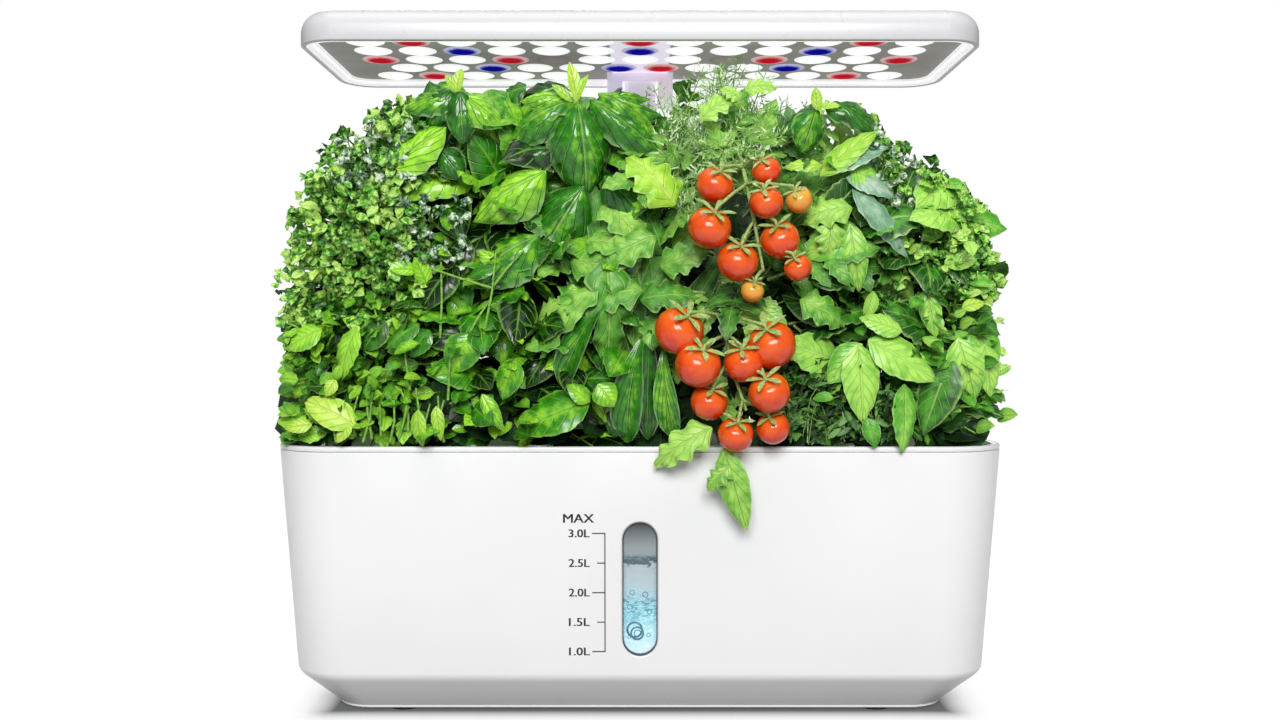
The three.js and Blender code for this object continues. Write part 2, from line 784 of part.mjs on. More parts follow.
function makeBezel() {
  const low = lampBottom + gap;
  const high = lampBottom + bezelHeight;
  const outer = lampWall + gap;
  const mid = outer + (bezelFootWidth + bezelHeadWidth) / 2;
  const step = low + bezelHeight * bezelStepShare;
  const frame = loft([
    lampRing(outer, low),
    lampRing(outer, high),
    lampRing(outer + bezelHeadWidth, high),
    lampRing(mid, step),
    lampRing(outer + bezelFootWidth, step),
    lampRing(outer + bezelFootWidth, low),
  ], true);
  const recess = bracketTool(bracketRecessWidth, low - overrun, high + overrun);
  add('lamp_bezel', cut(frame, [recess]), plasticWhite);
}

// Where each lens sits under the lamp, row by row from the front. The row next to the last is set half a pitch
// aside, and the bracket takes the places at the back of the middle.
function lensPlaces() {
  const spanX = lampWidth - 2 * lensFromEnd;
  const spanY = lampDepth - 2 * lensFromSide;
  const stepsX = Math.round(spanX / lensColumnPitch);
  const stepsY = Math.round(spanY / lensRowPitch);
  const places = [];
  for (let row = 0; row <= stepsY; row += 1) {
    const y = lampMiddle - spanY / 2 + spanY * row / stepsY;
    const count = row === stepsY - 1 ? stepsX : stepsX + 1;
    for (let i = 0; i < count; i += 1) {
      const x = (i - (count - 1) / 2) * spanX / stepsX;
      const inMiddle = Math.abs(x) < bracketWidth / 2 + lensRadius;
      const atBack = y + lensRadius > postMiddle - bracketForward;
      if (!(inMiddle && atBack)) places.push(new THREE.Vector2(x, y));
    }
  }
  return places;
}

function makeLights() {
  const inset = lampWall + gap + plateInset;
  const sheet = loft([plateLow, plateTop].map((z) => lampRing(inset, z)));
  const lenses = lensPlaces().map(({ x, y }) => drum(
    lensRadius * lensCrownShare, lensRadius, plateLow - lensDrop, (plateLow + plateTop) / 2, x, y, lensSides,
  ));
  const notch = bracketTool(bracketWidth + 2 * gap, plateLow - overrun, ledBoardTop + overrun);
  add('lens_plate', cut(join([sheet, ...lenses]), [notch]), { color: 0xf7f4f6, roughness: 0.3, metalness: 0 });

  const board = loft([plateTop + gap, ledBoardTop].map((z) => lampRing(inset, z)));
  add('led_board', cut(board, [notch]), { color: 0x9c9797, roughness: 0.6, metalness: 0 });
}

// Bracket: a socket for the upper post, open in front below its mouth so that the post shows
function makeBracket() {
  const near = postMiddle - bracketForward;
  const midY = near + bracketDepth / 2;
  const low = lampBottom - bracketBelow;
  const block = prism(bracketWidth, bracketDepth, bracketCorner, low, bracketTop, 0, midY);
  const fitWidth = upperPostWidth + 2 * bracketFit;
  const socket = prism(
    fitWidth, upperPostDepth + 2 * bracketFit, postCorner, low - overrun, bracketTop - bracketMouth,
    0, postMiddle,
  );
  const frontMiddle = postMiddle - bracketForward / 2 - gap;
  const front = box(fitWidth, bracketForward, low - overrun, lampBottom - bracketMouth, 0, frontMiddle);
  add('lamp_bracket', cut(block, [socket, front]), plasticWhite);
}

function makeControls() {
  const board = box(
    controlBoardLength, controlBoardDepth, controlTop - controlBoardThickness, controlTop,
    buttonsMiddle(), buttonRow,
  );
  add('control_board', board, { color: 0x1f6b3f, roughness: 0.5, metalness: 0 });
  const cap = turned([
    [0, buttonFlangeTop - buttonFlangeHeight], [buttonFlange, buttonFlangeTop - buttonFlangeHeight],
    [buttonFlange, buttonFlangeTop], [buttonRadius, buttonFlangeTop],
    [buttonRadius, lampTop + buttonProud / 2], [buttonRadius - buttonProud / 2, lampTop + buttonProud],
    [0, lampTop + buttonProud],
  ], roundSides);
  ['light_button', 'timer_button'].forEach((name, i) => {
    const button = add(name, cap, { color: 0xdcdcde, roughness: 0.4, metalness: 0 });
    button.position.set(buttonPlaces[i], buttonRow, 0);
  });
}

// Plants. Each one grows from its own basket and keeps to its own share of the space over the deck. A leaf is a
// thin domed blade: its outline runs from the stem to the tip and back, in shares of its length and width.
const leafOutlineShares = [[0, 0], [0.34, 0.5], [0.74, 0.42], [1, 0], [0.74, -0.42], [0.34, -0.5]];
const leafMiddleShare = 0.52;
const leafFoldShare = 0.12;
const stemStationShares = [0, 0.35, 0.7, 1];
const goldenTurn = Math.PI * (3 - Math.sqrt(5));

// One plant for each basket, in the baskets' order
const species = [
  { name: 'mint', topShare: 0.42, leafShare: 0.8, widthShare: 0.9, leaves: 17, leanShare: 0.36 },
  { name: 'basil_bush', topShare: 0.52, leafShare: 1, widthShare: 1.1, leaves: 15, leanShare: 0 },
  { name: 'leafy_greens', topShare: 0.56, leafShare: 1.2, widthShare: 0.9, leaves: 15, leanShare: 0 },
  { name: 'tomato', topShare: 0.86, leafShare: 1, widthShare: 1, leaves: 13, leanShare: 0 },
  { name: 'lemon_balm', topShare: 0.56, leafShare: 1.15, widthShare: 1.25, leaves: 17, leanShare: 0.36 },
  { name: 'parsley_left', topShare: 0.88, leafShare: 0.95, widthShare: 0.85, leaves: 40, leanShare: 0.36 },
  { name: 'basil_tall', topShare: 1, leafShare: 1.2, widthShare: 1.25, leaves: 26, leanShare: 0 },
  { name: 'basil_broad', topShare: 1, leafShare: 1.1, widthShare: 1.2, leaves: 16, leanShare: 0 },
  { name: 'dill', topShare: 0.98, leafShare: 1.1, widthShare: 0.6, leaves: 18, leanShare: 0 },
  { name: 'parsley_right', topShare: 0.82, leafShare: 1, widthShare: 0.9, leaves: 34, leanShare: 0.36 },
];

// Fruit of the two trusses, from the top down: place across in column pitches, place forward, height and radius
const upperTrussShares = [
  [0.96, 0.4, 0.685, 0.6], [0.57, 0.45, 0.65, 0.76], [0.95, 1, 0.6, 0.68], [1.2, 0.6, 0.612, 0.56],
  [0.52, 0.75, 0.54, 0.88], [1.06, 0.45, 0.514, 0.8], [0.735, 0.6, 0.46, 0.85], [1.19, 0.9, 0.445, 0.6],
  [0.85, 0.9, 0.388, 0.48],
];
const lowerTrussShares = [
  [0.295, 0.5, 0.29, 1], [0.99, 0.4, 0.256, 1], [0.43, 1, 0.206, 0.92], [0.78, 0.75, 0.211, 0.8],
  [0.97, 0.9, 0.14, 0.85], [0.52, 0.5, 0.115, 0.76], [0.72, 0.8, 0.037, 0.73], [1.01, 0.45, 0.051, 0.68],
];
const overhangWidthShares = [0, 0.1, 0.3, 1, 0.05];
const overhangStemShare = 0.125;
const upperTrussStemShare = 0.875;
const lowerTrussStemShare = 0.5;
const firstLeafShare = 0.25;
const overhangShares = [
  [[0.74, -0.9, 0.43], [0.56, 0.3, 0.24], [0.33, 1, 0], [0.1, 1.1, -0.27]],
  [[0.76, -1, 0.38], [0.72, 0.5, 0.16], [0.68, 1, -0.27], [0.76, 1.05, -1]],
];

// A closed skin along a path; sections holds, for each point, its corners as [across, up] pairs
function sweep(path, across, sections) {
  const rings = path.map((point, i) => {
    const before = path[Math.max(i - 1, 0)];
    const after = path[Math.min(i + 1, path.length - 1)];
    const along = after.clone().sub(before).normalize();
    const up = along.clone().cross(across).normalize();
    const side = up.clone().cross(along).normalize();
    return sections[i].map(([a, b]) => point.clone().addScaledVector(side, a).addScaledVector(up, b));
  });
  return loft(rings);
}

function roundSection(radius, sides) {
  const corners = [];
  for (let i = 0; i < sides; i += 1) {
    const angle = i * 2 * Math.PI / sides;
    corners.push([radius * Math.cos(angle), radius * Math.sin(angle)]);
  }
  return corners;
}

function blade(path, across, width, widthShares) {
  const sections = path.map((point, i) => {
    const half = Math.max(width * widthShares[i], petioleWidth) / 2;
    const isEnd = i === 0 || i === path.length - 1;
    const fold = isEnd ? 0 : half / 4;
    return [[half, fold], [0, leafThickness / 2], [-half, fold], [0, -leafThickness / 2]];
  });
  return sweep(path, across, sections);
}

function stemTop(plant) {
  return deckTop + (leafCeiling - deckTop) * plant.topShare - leafLength / 4;
}

// How high the topmost leaf of a plant may arch
function crownOf(plant) {
  const fold = leafWidth * plant.widthShare * leafFoldShare / 2;
  return stemTop(plant) + leafLength * plant.leafShare / 4 + fold + leafThickness;
}

// The space over one basket that its plant may fill from a given height up. A back plant leans forward once it is
// over the plant in front of it.
function cellOf(index, height) {
  const { x } = basketPlaces()[index];
  const column = index % columns;
  const isTall = index >= columns && height > crownOf(species[index - columns]) + cellGap;
  const isBack = index >= columns && !isTall;
  const split = (frontRow + backRow) / 2;
  const behindPost = postMiddle - lowerPostDepth / 2 - gripWall - 2 * cellGap;
  return {
    minX: column === 0 ? -foliageSide : x - columnPitch / 2 + cellGap / 2,
    maxX: column === columns - 1 ? foliageSide : x + columnPitch / 2 - cellGap / 2,
    minY: isBack ? split + cellGap / 2 : -foliageFront,
    maxY: index < columns ? split - cellGap / 2 : (x === 0 ? behindPost : foliageBack),
  };
}

// How far a point may move in one level direction before it leaves the cell
function roomIn(cell, point, direction) {
  const rooms = [];
  if (direction.x > 0) rooms.push((cell.maxX - point.x) / direction.x);
  if (direction.x < 0) rooms.push((cell.minX - point.x) / direction.x);
  if (direction.y > 0) rooms.push((cell.maxY - point.y) / direction.y);
  if (direction.y < 0) rooms.push((cell.minY - point.y) / direction.y);
  return Math.min(...rooms);
}

function leafOn(stemPoint, angle, plant, cell) {
  const out = new THREE.Vector3(Math.cos(angle), Math.sin(angle), 0);
  const across = new THREE.Vector3(-Math.sin(angle), Math.cos(angle), 0);
  const reach = Math.min(leafLength * plant.leafShare, roomIn(cell, stemPoint, out) - cellGap / 2);
  const sideRooms = leafOutlineShares.filter(([, side]) => side > 0).map(([along, side]) => {
    const point = stemPoint.clone().addScaledVector(out, reach * along);
    return Math.min(roomIn(cell, point, across), roomIn(cell, point, across.clone().negate())) / side;
  });
  const width = Math.min(leafWidth * plant.widthShare, Math.min(...sideRooms) - cellGap);
  const rise = Math.min(reach / 2, leafCeiling - stemPoint.z - leafThickness - width * leafFoldShare);
  const place = (along, side, lift) => {
    const point = stemPoint.clone().addScaledVector(out, reach * along).addScaledVector(across, width * side);
    point.z = Math.max(point.z + 2 * rise * along * (1 - along), leafFloor) + lift;
    return point;
  };
  const edge = leafOutlineShares.map(([along, side]) => {
    const lift = Math.abs(side) * width * leafFoldShare;
    return place(along, side, lift);
  });
  const top = place(leafMiddleShare, 0, leafThickness);
  const under = place(leafMiddleShare, 0, 0);
  const positions = [...edge, top, under].flatMap((point) => point.toArray());
  const indices = [];
  edge.forEach((point, i) => {
    const next = (i + 1) % edge.length;
    indices.push(next, i, edge.length, i, next, edge.length + 1);
  });
  return geometryOf(positions, indices);
}

function stemPath(plant, basket, foot) {
  const { x, y } = basketPlaces()[basket];
  const top = stemTop(plant);
  const lean = Math.sign(x) * columnPitch * plant.leanShare;
  return stemStationShares.map((share) => {
    const z = foot + (top - foot) * share;
    return new THREE.Vector3(x + lean * share * share, y, z);
  });
}

function alongPath(path, share) {
  return new THREE.CatmullRomCurve3(path).getPoint(share);
}

function stalk(from, to) {
  const across = new THREE.Vector3(1, 0, 0);
  const along = to.clone().sub(from).normalize();
  if (Math.abs(along.x) > Math.abs(along.z)) across.set(0, 0, 1);
  const section = roundSection(stalkRadius, 3);
  return sweep([from, to], across, [section, section]);
}

// A truss hangs in front of the leaves: a stalk out of the stem and down, with the fruit on short stalks
function trussOn(path, stemShare, fruitShares) {
  const rise = leafCeiling - deckTop;
  const frontY = -foliageFront - fruitRadius / 2;
  const fruits = fruitShares.map(([across, forward, height, size]) => {
    const radius = fruitRadius * size;
    const y = -foliageFront - radius - fruitForward * forward;
    return { middle: new THREE.Vector3(columnPitch * across, y, deckTop + rise * height), radius };
  });
  const highest = Math.max(...fruits.map(({ middle }) => middle.z));
  const lowest = Math.min(...fruits.map(({ middle }) => middle.z));
  const midX = (fruits[0].middle.x + fruits[fruits.length - 1].middle.x) / 2;
  const root = alongPath(path, stemShare);
  const hang = [
    root,
    new THREE.Vector3(midX, frontY, highest + fruitRadius / 2),
    new THREE.Vector3(midX, frontY - fruitForward / 2, (highest + lowest) / 2),
    new THREE.Vector3(midX, frontY - fruitForward / 2, lowest),
  ];
  const section = roundSection(stalkRadius, stemSides);
  const across = new THREE.Vector3(1, 0, 0);
  const pieces = [sweep(hang, across, hang.map(() => section))];
  for (const { middle, radius } of fruits) {
    const ball = new THREE.SphereGeometry(radius, fruitSides, fruitSides - 2);
    ball.translate(middle.x, middle.y, middle.z);
    const share = Math.min((highest + fruitRadius / 2 - middle.z) / (highest - lowest + fruitRadius), 1);
    const kneeZ = Math.min(middle.z + radius, highest);
    const knee = new THREE.Vector3(midX, frontY - fruitForward / 2 * share, kneeZ);
    pieces.push(ball, stalk(knee, middle));
  }
  return pieces;
}

function overhangs(path) {
  const across = new THREE.Vector3(1, 0, 0);
  return overhangShares.map((points) => {
    const blades = points.map(([x, y, z]) => new THREE.Vector3(
      columnPitch * x, -tankDepth / 2 - overhangReach * y, deckTop + overhangDrop * z,
    ));
    const root = alongPath(path, overhangStemShare);
    const slant = new THREE.Vector3(1, -1, 0).normalize();
    return join([blade([root, ...blades], slant, leafWidth / 2, overhangWidthShares), stalk(root, blades[0])]);
  });
}

function makePlants(foot) {
  const green = { color: 0x3f8f2a, roughness: 0.55, metalness: 0 };
  species.forEach((plant, basket) => {
    const path = stemPath(plant, basket, foot);
    const sections = stemStationShares.map((share) => roundSection(stemRadius * (1 - share / 2), stemSides));
    const pieces = [sweep(path, new THREE.Vector3(1, 0, 0), sections)];
    for (let i = 0; i < plant.leaves; i += 1) {
      const share = firstLeafShare + (1 - firstLeafShare) * (i + 1 / 2) / plant.leaves;
      const root = alongPath(path, share);
      pieces.push(leafOn(root, i * goldenTurn, plant, cellOf(basket, root.z)));
    }
    if (plant.name === 'tomato') {
      pieces.push(...trussOn(path, upperTrussStemShare, upperTrussShares));
      pieces.push(...trussOn(path, lowerTrussStemShare, lowerTrussShares));
      pieces.push(...overhangs(path));
    }
    add(`${plant.name}_plant`, join(pieces), green);
  });
}

makeTank();
makeWindow();
makeDeck();
makeFlap();
const spongeTop = makeBaskets();
makePump();
makePost();
makeHousing();
makeBezel();
makeLights();
makeBracket();
makeControls();
makePlants(spongeTop + gap);

export default garden;
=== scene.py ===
# %% [markdown]
# A countertop hydroponic garden stands on a white table: a white water tank with a sight window, a deck
# with ten baskets of herbs, salad and small tomatoes, and an LED lamp on a post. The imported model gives
# every piece its real place. This script gives each piece its finish, and builds the smooth or living
# pieces as meshes.

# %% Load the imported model
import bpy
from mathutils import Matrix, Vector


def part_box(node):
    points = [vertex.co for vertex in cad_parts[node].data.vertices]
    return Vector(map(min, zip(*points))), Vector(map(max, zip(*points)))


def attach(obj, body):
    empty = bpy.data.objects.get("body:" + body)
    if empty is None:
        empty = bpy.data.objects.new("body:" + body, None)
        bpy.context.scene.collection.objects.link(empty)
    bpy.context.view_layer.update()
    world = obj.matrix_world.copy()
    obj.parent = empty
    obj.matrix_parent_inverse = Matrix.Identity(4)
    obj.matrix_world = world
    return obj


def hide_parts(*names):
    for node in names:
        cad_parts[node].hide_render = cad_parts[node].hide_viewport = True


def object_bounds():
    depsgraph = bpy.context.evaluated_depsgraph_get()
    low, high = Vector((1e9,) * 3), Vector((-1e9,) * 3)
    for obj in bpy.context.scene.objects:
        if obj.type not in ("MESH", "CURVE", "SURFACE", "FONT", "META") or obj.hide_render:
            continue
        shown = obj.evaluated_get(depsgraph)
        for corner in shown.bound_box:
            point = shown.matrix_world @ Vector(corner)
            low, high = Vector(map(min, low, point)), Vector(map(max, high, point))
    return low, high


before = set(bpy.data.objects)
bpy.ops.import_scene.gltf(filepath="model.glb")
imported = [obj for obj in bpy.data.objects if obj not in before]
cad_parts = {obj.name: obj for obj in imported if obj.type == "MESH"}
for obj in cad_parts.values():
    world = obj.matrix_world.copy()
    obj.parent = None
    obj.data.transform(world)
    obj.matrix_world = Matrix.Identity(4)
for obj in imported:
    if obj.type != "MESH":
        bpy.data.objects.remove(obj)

import copy
import math

import bmesh
import bpy
import numpy as np
from mathutils import Matrix, Vector

MM = 0.001
cad_box = [list(corner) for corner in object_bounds()]
print("box of the packed model, metres:", cad_box)

# %% [markdown]
# The camera stands level in front of the garden, a little over half a metre from it, and looks along +Y.
# The horizon lies a little above the middle of the picture, so a small vertical shift places the frame and
# the camera stays level, which keeps upright edges upright.

# %% Camera
def add_object(name, data):
    made = bpy.data.objects.new(name, data)
    bpy.context.collection.objects.link(made)
    return made


PHOTO_WIDE = 1280
PHOTO_HIGH = 720
FOCAL_PX = 1250
HORIZON_PX = 345.75
EYE = Vector((0, -655 * MM, 182.4 * MM))

camera_data = bpy.data.cameras.new("camera")
camera_data.sensor_width = 36
camera_data.lens = camera_data.sensor_width * FOCAL_PX / PHOTO_WIDE
camera_data.shift_y = (HORIZON_PX - PHOTO_HIGH / 2) / PHOTO_WIDE
camera_data.clip_start = 10 * MM
camera = add_object("camera", camera_data)
camera.location = EYE
camera.rotation_euler = (math.pi / 2, 0, 0)
bpy.context.scene.camera = camera
print("lens", round(camera_data.lens, 2), "mm")

# %% [markdown]
# Colours are written as sRGB hex values, as a paint chart gives them, and one function turns them to
# linear. Another adds one shader node of any kind with its settings and links, so that each material below
# reads as a list of the nodes that it is made of. Most of them share one pattern: noise whose cells have a
# real size, here called grain.

# %% Helpers for materials
def linear(hex_colour):
    parts = [int(hex_colour[i:i + 2], 16) / 255 for i in (1, 3, 5)]
    return tuple(p / 12.92 if p <= 0.04045 else ((p + 0.055) / 1.055) ** 2.4 for p in parts) + (1,)


def plug(tree, socket, value):
    """Sets an input to a number or a hex colour, or links it to an output or a node's first output."""
    if isinstance(value, bpy.types.Node):
        value = value.outputs[value.outputs[0].name]
    if isinstance(value, bpy.types.NodeSocket):
        tree.links.new(value, socket)
    else:
        socket.default_value = linear(value) if isinstance(value, str) else value


def add(tree, kind, inputs=(), stops=(), **settings):
    """Adds one node; its inputs are given by name or in order, a ramp's stops as (place, hex colour)."""
    made = tree.nodes.new(f"ShaderNode{kind}")
    for key, value in settings.items():
        setattr(made, key, value)
    for key, value in inputs.items() if isinstance(inputs, dict) else enumerate(inputs):
        plug(tree, made.inputs[key], value)
    if stops:
        elements = made.color_ramp.elements
        while len(elements) < len(stops):
            elements.new(0.5)
        for element, (at, colour) in zip(elements, stops):
            element.position = at
            element.color = linear(colour)
    return made


def new_material(name, inputs):
    """A material with one Principled shader; returns the material, its tree and the shader."""
    material = bpy.data.materials.new(name)
    material.use_nodes = True
    tree = material.node_tree
    tree.nodes.clear()
    shader = add(tree, "BsdfPrincipled", inputs)
    add(tree, "OutputMaterial", {"Surface": shader})
    return material, tree, shader


def feed(tree, shader, **sockets):
    """Feeds a shader's sockets; an underscore stands for the space in a socket's name."""
    for name, value in sockets.items():
        plug(tree, shader.inputs[name.replace("_", " ")], value)


def grain(tree, size, detail=2):
    """Noise on the piece's own coordinates, with cells of a real size in metres."""
    place = add(tree, "TexCoord").outputs["Object"]
    return add(tree, "TexNoise", {"Vector": place, "Scale": 1 / size, "Detail": detail})


def uneven(tree, size, low, high, detail=2):
    """A number that wanders between two limits with the grain."""
    return add(tree, "MapRange", (grain(tree, size, detail), 0.3, 0.7, low, high))


def two_tone(tree, size, low, high):
    """Two shades that pass into each other with the grain."""
    return add(tree, "Mix", {"Factor": uneven(tree, size, 0, 1), "A": low, "B": high}, data_type="RGBA")

# %% [markdown]
# The shell of the tank, the deck and the lamp are injection moulded in white ABS. Its tool is lightly
# etched, so the gloss is soft and very slightly uneven. The real grain is about 0.1 mm and would not show,
# so it is drawn at 0.7 mm. The lamp's shell gets a greyer copy of the white, as painted shade. Rubber, the
# black ABS of the pump, the painted post and the steel pin follow the same pattern with their own numbers.

# %% Materials of the hard pieces
def moulded_plastic(name, colour, shade, rough_low, rough_high, grain_size=0.7 * MM, depth=0.006 * MM,
                    **more):
    """Etched plastic; more inputs of the shader are given by name, with an underscore for a space."""
    inputs = {key.replace("_", " "): value for key, value in more.items()}
    material, tree, shader = new_material(name, {"IOR": 1.53, **inputs})
    etching = add(tree, "Bump", {"Height": grain(tree, grain_size), "Distance": depth, "Strength": 0.25})
    feed(tree, shader, Base_Color=two_tone(tree, 60 * MM, shade, colour),
         Roughness=uneven(tree, 9 * MM, rough_low, rough_high), Normal=etching)
    return material


white_abs = moulded_plastic("white_abs_moulded", "#f7f7f8", "#f4f4f5", 0.3, 0.38)
# painted shade: the lamp's shell is the same white ABS, given a greyer colour
lamp_abs_painted_grey = moulded_plastic("white_abs_lamp_shell_painted_grey", "#d5d5d7", "#d3d3d5", 0.27, 0.29, depth=0.002 * MM)
basket_pp = moulded_plastic("white_polypropylene_basket", "#ececed", "#e2e3e4", 0.4, 0.5)
button_abs = moulded_plastic("grey_abs_button", "#d4d5d8", "#cbccd0", 0.35, 0.45)
black_abs = moulded_plastic("black_abs_pump", "#26272a", "#1d1e20", 0.4, 0.55)
impeller_pom = moulded_plastic("white_acetal_impeller", "#dadbdd", "#d0d1d3", 0.3, 0.4)
riser_pvc = moulded_plastic("clear_grey_pvc_pipe", "#dde0e2", "#cfd3d6", 0.15, 0.25)
foot_rubber = moulded_plastic("black_silicone_foot", "#2c2c2e", "#222224", 0.7, 0.9, 1.2 * MM, 0.05 * MM)
seal_rubber = moulded_plastic("dark_epdm_gasket", "#3a3d41", "#2f3236", 0.6, 0.75)
post_paint = moulded_plastic("powder_coated_post", "#f1eff2", "#ebe9ed", 0.35, 0.45, 0.9 * MM, 0.04 * MM)
scale_ink = moulded_plastic("dark_grey_pad_print", "#24272a", "#1a1c1f", 0.5, 0.6)


def turned_steel():
    material, tree, shader = new_material("stainless_hinge_pin", {"Metallic": 1})
    lines = grain(tree, 0.3 * MM, 1)
    tone = add(tree, "Mix", {"Factor": lines, "A": "#a9abae", "B": "#c9cbce"}, data_type="RGBA")
    feed(tree, shader, Base_Color=tone, Roughness=add(tree, "MapRange", (lines, 0.3, 0.7, 0.22, 0.35)))
    return material


def circuit_board(name, colour, shade):
    """Glass epoxy board under lacquer; a fine weave shows through it, drawn at 1 mm."""
    material, tree, shader = new_material(name, {"IOR": 1.55})
    place = add(tree, "TexCoord").outputs["Object"]
    values = {"Vector": place, "Scale": 1 / (6 * MM), "Distortion": 1.5}
    weave = add(tree, "TexWave", values).outputs["Fac"]
    thread = add(tree, "MapRange", (weave, 0, 1, 0, 1))
    tone = add(tree, "Mix", {"Factor": thread, "A": shade, "B": colour}, data_type="RGBA")
    cloth = add(tree, "Bump", {"Height": weave, "Distance": 0.02 * MM, "Strength": 0.3})
    feed(tree, shader, Base_Color=tone, Roughness=uneven(tree, 5 * MM, 0.42, 0.55), Normal=cloth)
    return material


def lit_sheet():
    """The sheet between the lenses: grey lacquer, paler and lilac where the middle LEDs light it."""
    values = {"Specular IOR Level": 0, "Roughness": 0.5}
    material, tree, shader = new_material("lens_sheet_grey_lacquer", values)
    place = add(tree, "TexCoord").outputs["Object"]
    across = add(tree, "SeparateXYZ", (place,)).outputs["X"]
    from_middle = add(tree, "Math", (across,), operation="ABSOLUTE")
    middle = add(tree, "MapRange", (from_middle, 14.5 * MM, 16 * MM, 1, 0))
    lacquer = two_tone(tree, 20 * MM, "#b0aaab", "#bdb7b8")
    tone = add(tree, "Mix", {"Factor": middle, "A": lacquer, "B": "#ece2f6"}, data_type="RGBA")
    glow = add(tree, "MapRange", (middle, 0.3, 0.7, 0.3, 0.75))
    spray = add(tree, "Bump", {"Height": grain(tree, 0.9 * MM), "Distance": 0.03 * MM, "Strength": 0.3})
    feed(tree, shader, Base_Color=tone, Emission_Color=tone, Emission_Strength=glow, Normal=spray)
    return material


lamp_board = circuit_board("grey_lacquered_led_board", "#a19c9d", "#989394")
green_board = circuit_board("green_lacquered_control_board", "#2b7a47", "#23683b")

# %% [markdown]
# The sponge in each basket is open foam, dyed dark so that algae don't show: matt, with pores of about a
# millimetre. A Voronoi texture gives round pores, which suit foam better than noise does.

# %% Sponge
def open_foam():
    material, tree, shader = new_material("dark_open_cell_sponge", {"Roughness": 0.95, "Sheen Weight": 0.2})
    place = add(tree, "TexCoord").outputs["Object"]
    pores = add(tree, "TexVoronoi", {"Vector": place, "Scale": 1 / (1.6 * MM)})
    walls = add(tree, "MapRange", (pores, 0.1, 0.6, 0, 1))
    tone = add(tree, "Mix", {"Factor": walls, "A": "#2a1f18", "B": "#5b4837"}, data_type="RGBA")
    dents = add(tree, "Bump", {"Height": pores, "Distance": 0.5 * MM, "Strength": 0.8})
    feed(tree, shader, Base_Color=tone, Normal=dents)
    return material


sponge_foam = open_foam()

# %% [markdown]
# Every built piece goes through one function, which makes the mesh, marks the sharp edges by their angle
# and rides the piece on its body. Shapes with a long smooth skin, such as the tank and the lamp, are lofts:
# one rounded rectangle after another up the outside and down the inside.

# %% Helpers for meshes
SHARP = math.radians(32)
PAST = 2 * MM  # how far a cutting tool reaches past what it cuts
PART_GAP = 0.3 * MM  # the room between two parts that fit into each other


def mesh_of(name, points, faces):
    mesh = bpy.data.meshes.new(name)
    mesh.from_pydata([tuple(p) for p in points], [], [tuple(f) for f in faces])
    return mesh


def shade_smooth(mesh):
    mesh.polygons.foreach_set("use_smooth", [True] * len(mesh.polygons))


def piece(name, points, faces, materials, body, slot, smooth=True, replaced=()):
    """A built piece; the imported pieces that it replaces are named."""
    mesh = mesh_of(name, points, faces)
    made = add_object(name, mesh)
    for material in materials if isinstance(materials, (list, tuple)) else [materials]:
        mesh.materials.append(material)
    if smooth:
        shade_smooth(mesh)
        mesh.set_sharp_from_angle(angle=SHARP)
    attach(made, body)
    if replaced:
        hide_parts(*replaced)
    return made


def turns(count):
    """The angles of a full turn, in even steps."""
    return [i * 2 * math.pi / count for i in range(count)]


def quarter(steps):
    """The angles of a quarter turn, in even steps, with both ends."""
    return [step / steps * math.pi / 2 for step in range(steps + 1)]


def rounded_ring(width, depth, corner, z, mid=(0, 0), steps=14):
    """A level rectangle with round corners, as a ring of points."""
    radius = max(min(corner, width / 2, depth / 2), 0.01 * MM)
    ring = []
    for side, (sign_x, sign_y) in enumerate(((1, 1), (-1, 1), (-1, -1), (1, -1))):
        for step in range(steps + 1):
            angle = (side + step / steps) * math.pi / 2
            x = mid[0] + sign_x * (width / 2 - radius) + radius * math.cos(angle)
            y = mid[1] + sign_y * (depth / 2 - radius) + radius * math.sin(angle)
            ring.append((x, y, z))
    return ring


def skin(rings, count, closed=False):
    """Quads between rings of so many points each; a closed skin joins the last ring to the first."""
    faces = []
    for band in range(rings if closed else rings - 1):
        low, high = band * count, (band + 1) % rings * count
        for i in range(count):
            j = (i + 1) % count
            faces.append((low + i, low + j, high + j, high + i))
    return faces


def loft(rings, closed=False):
    """Points and faces of a skin through rings of equal length; an open stack gets end caps."""
    count = len(rings[0])
    points = [p for ring in rings for p in ring]
    faces = skin(len(rings), count, closed)
    if not closed:
        last = (len(rings) - 1) * count
        faces.append(tuple(reversed(range(count))))
        faces.append(tuple(range(last, last + count)))
    return points, faces


def joined(parts):
    """Several (points, faces) as one."""
    points, faces = [], []
    for part_points, part_faces in parts:
        start = len(points)
        points += list(part_points)
        faces += [tuple(start + i for i in face) for face in part_faces]
    return points, faces


def turned(profile, sides, mid=(0, 0)):
    """A solid of revolution round an upright axis, from (radius, height) pairs."""
    points, faces, rings = [], [], []
    for radius, z in profile:
        if radius == 0:
            rings.append([len(points)])
            points.append((mid[0], mid[1], z))
            continue
        rings.append(list(range(len(points), len(points) + sides)))
        for angle in turns(sides):
            points.append((mid[0] + radius * math.cos(angle), mid[1] + radius * math.sin(angle), z))
    for low, high in zip(rings, rings[1:]):
        for i in range(sides):
            j = (i + 1) % sides
            if len(low) == 1:
                faces.append((low[0], high[j], high[i]))
            elif len(high) == 1:
                faces.append((low[i], low[j], high[0]))
            else:
                faces.append((low[i], low[j], high[j], high[i]))
    return points, faces


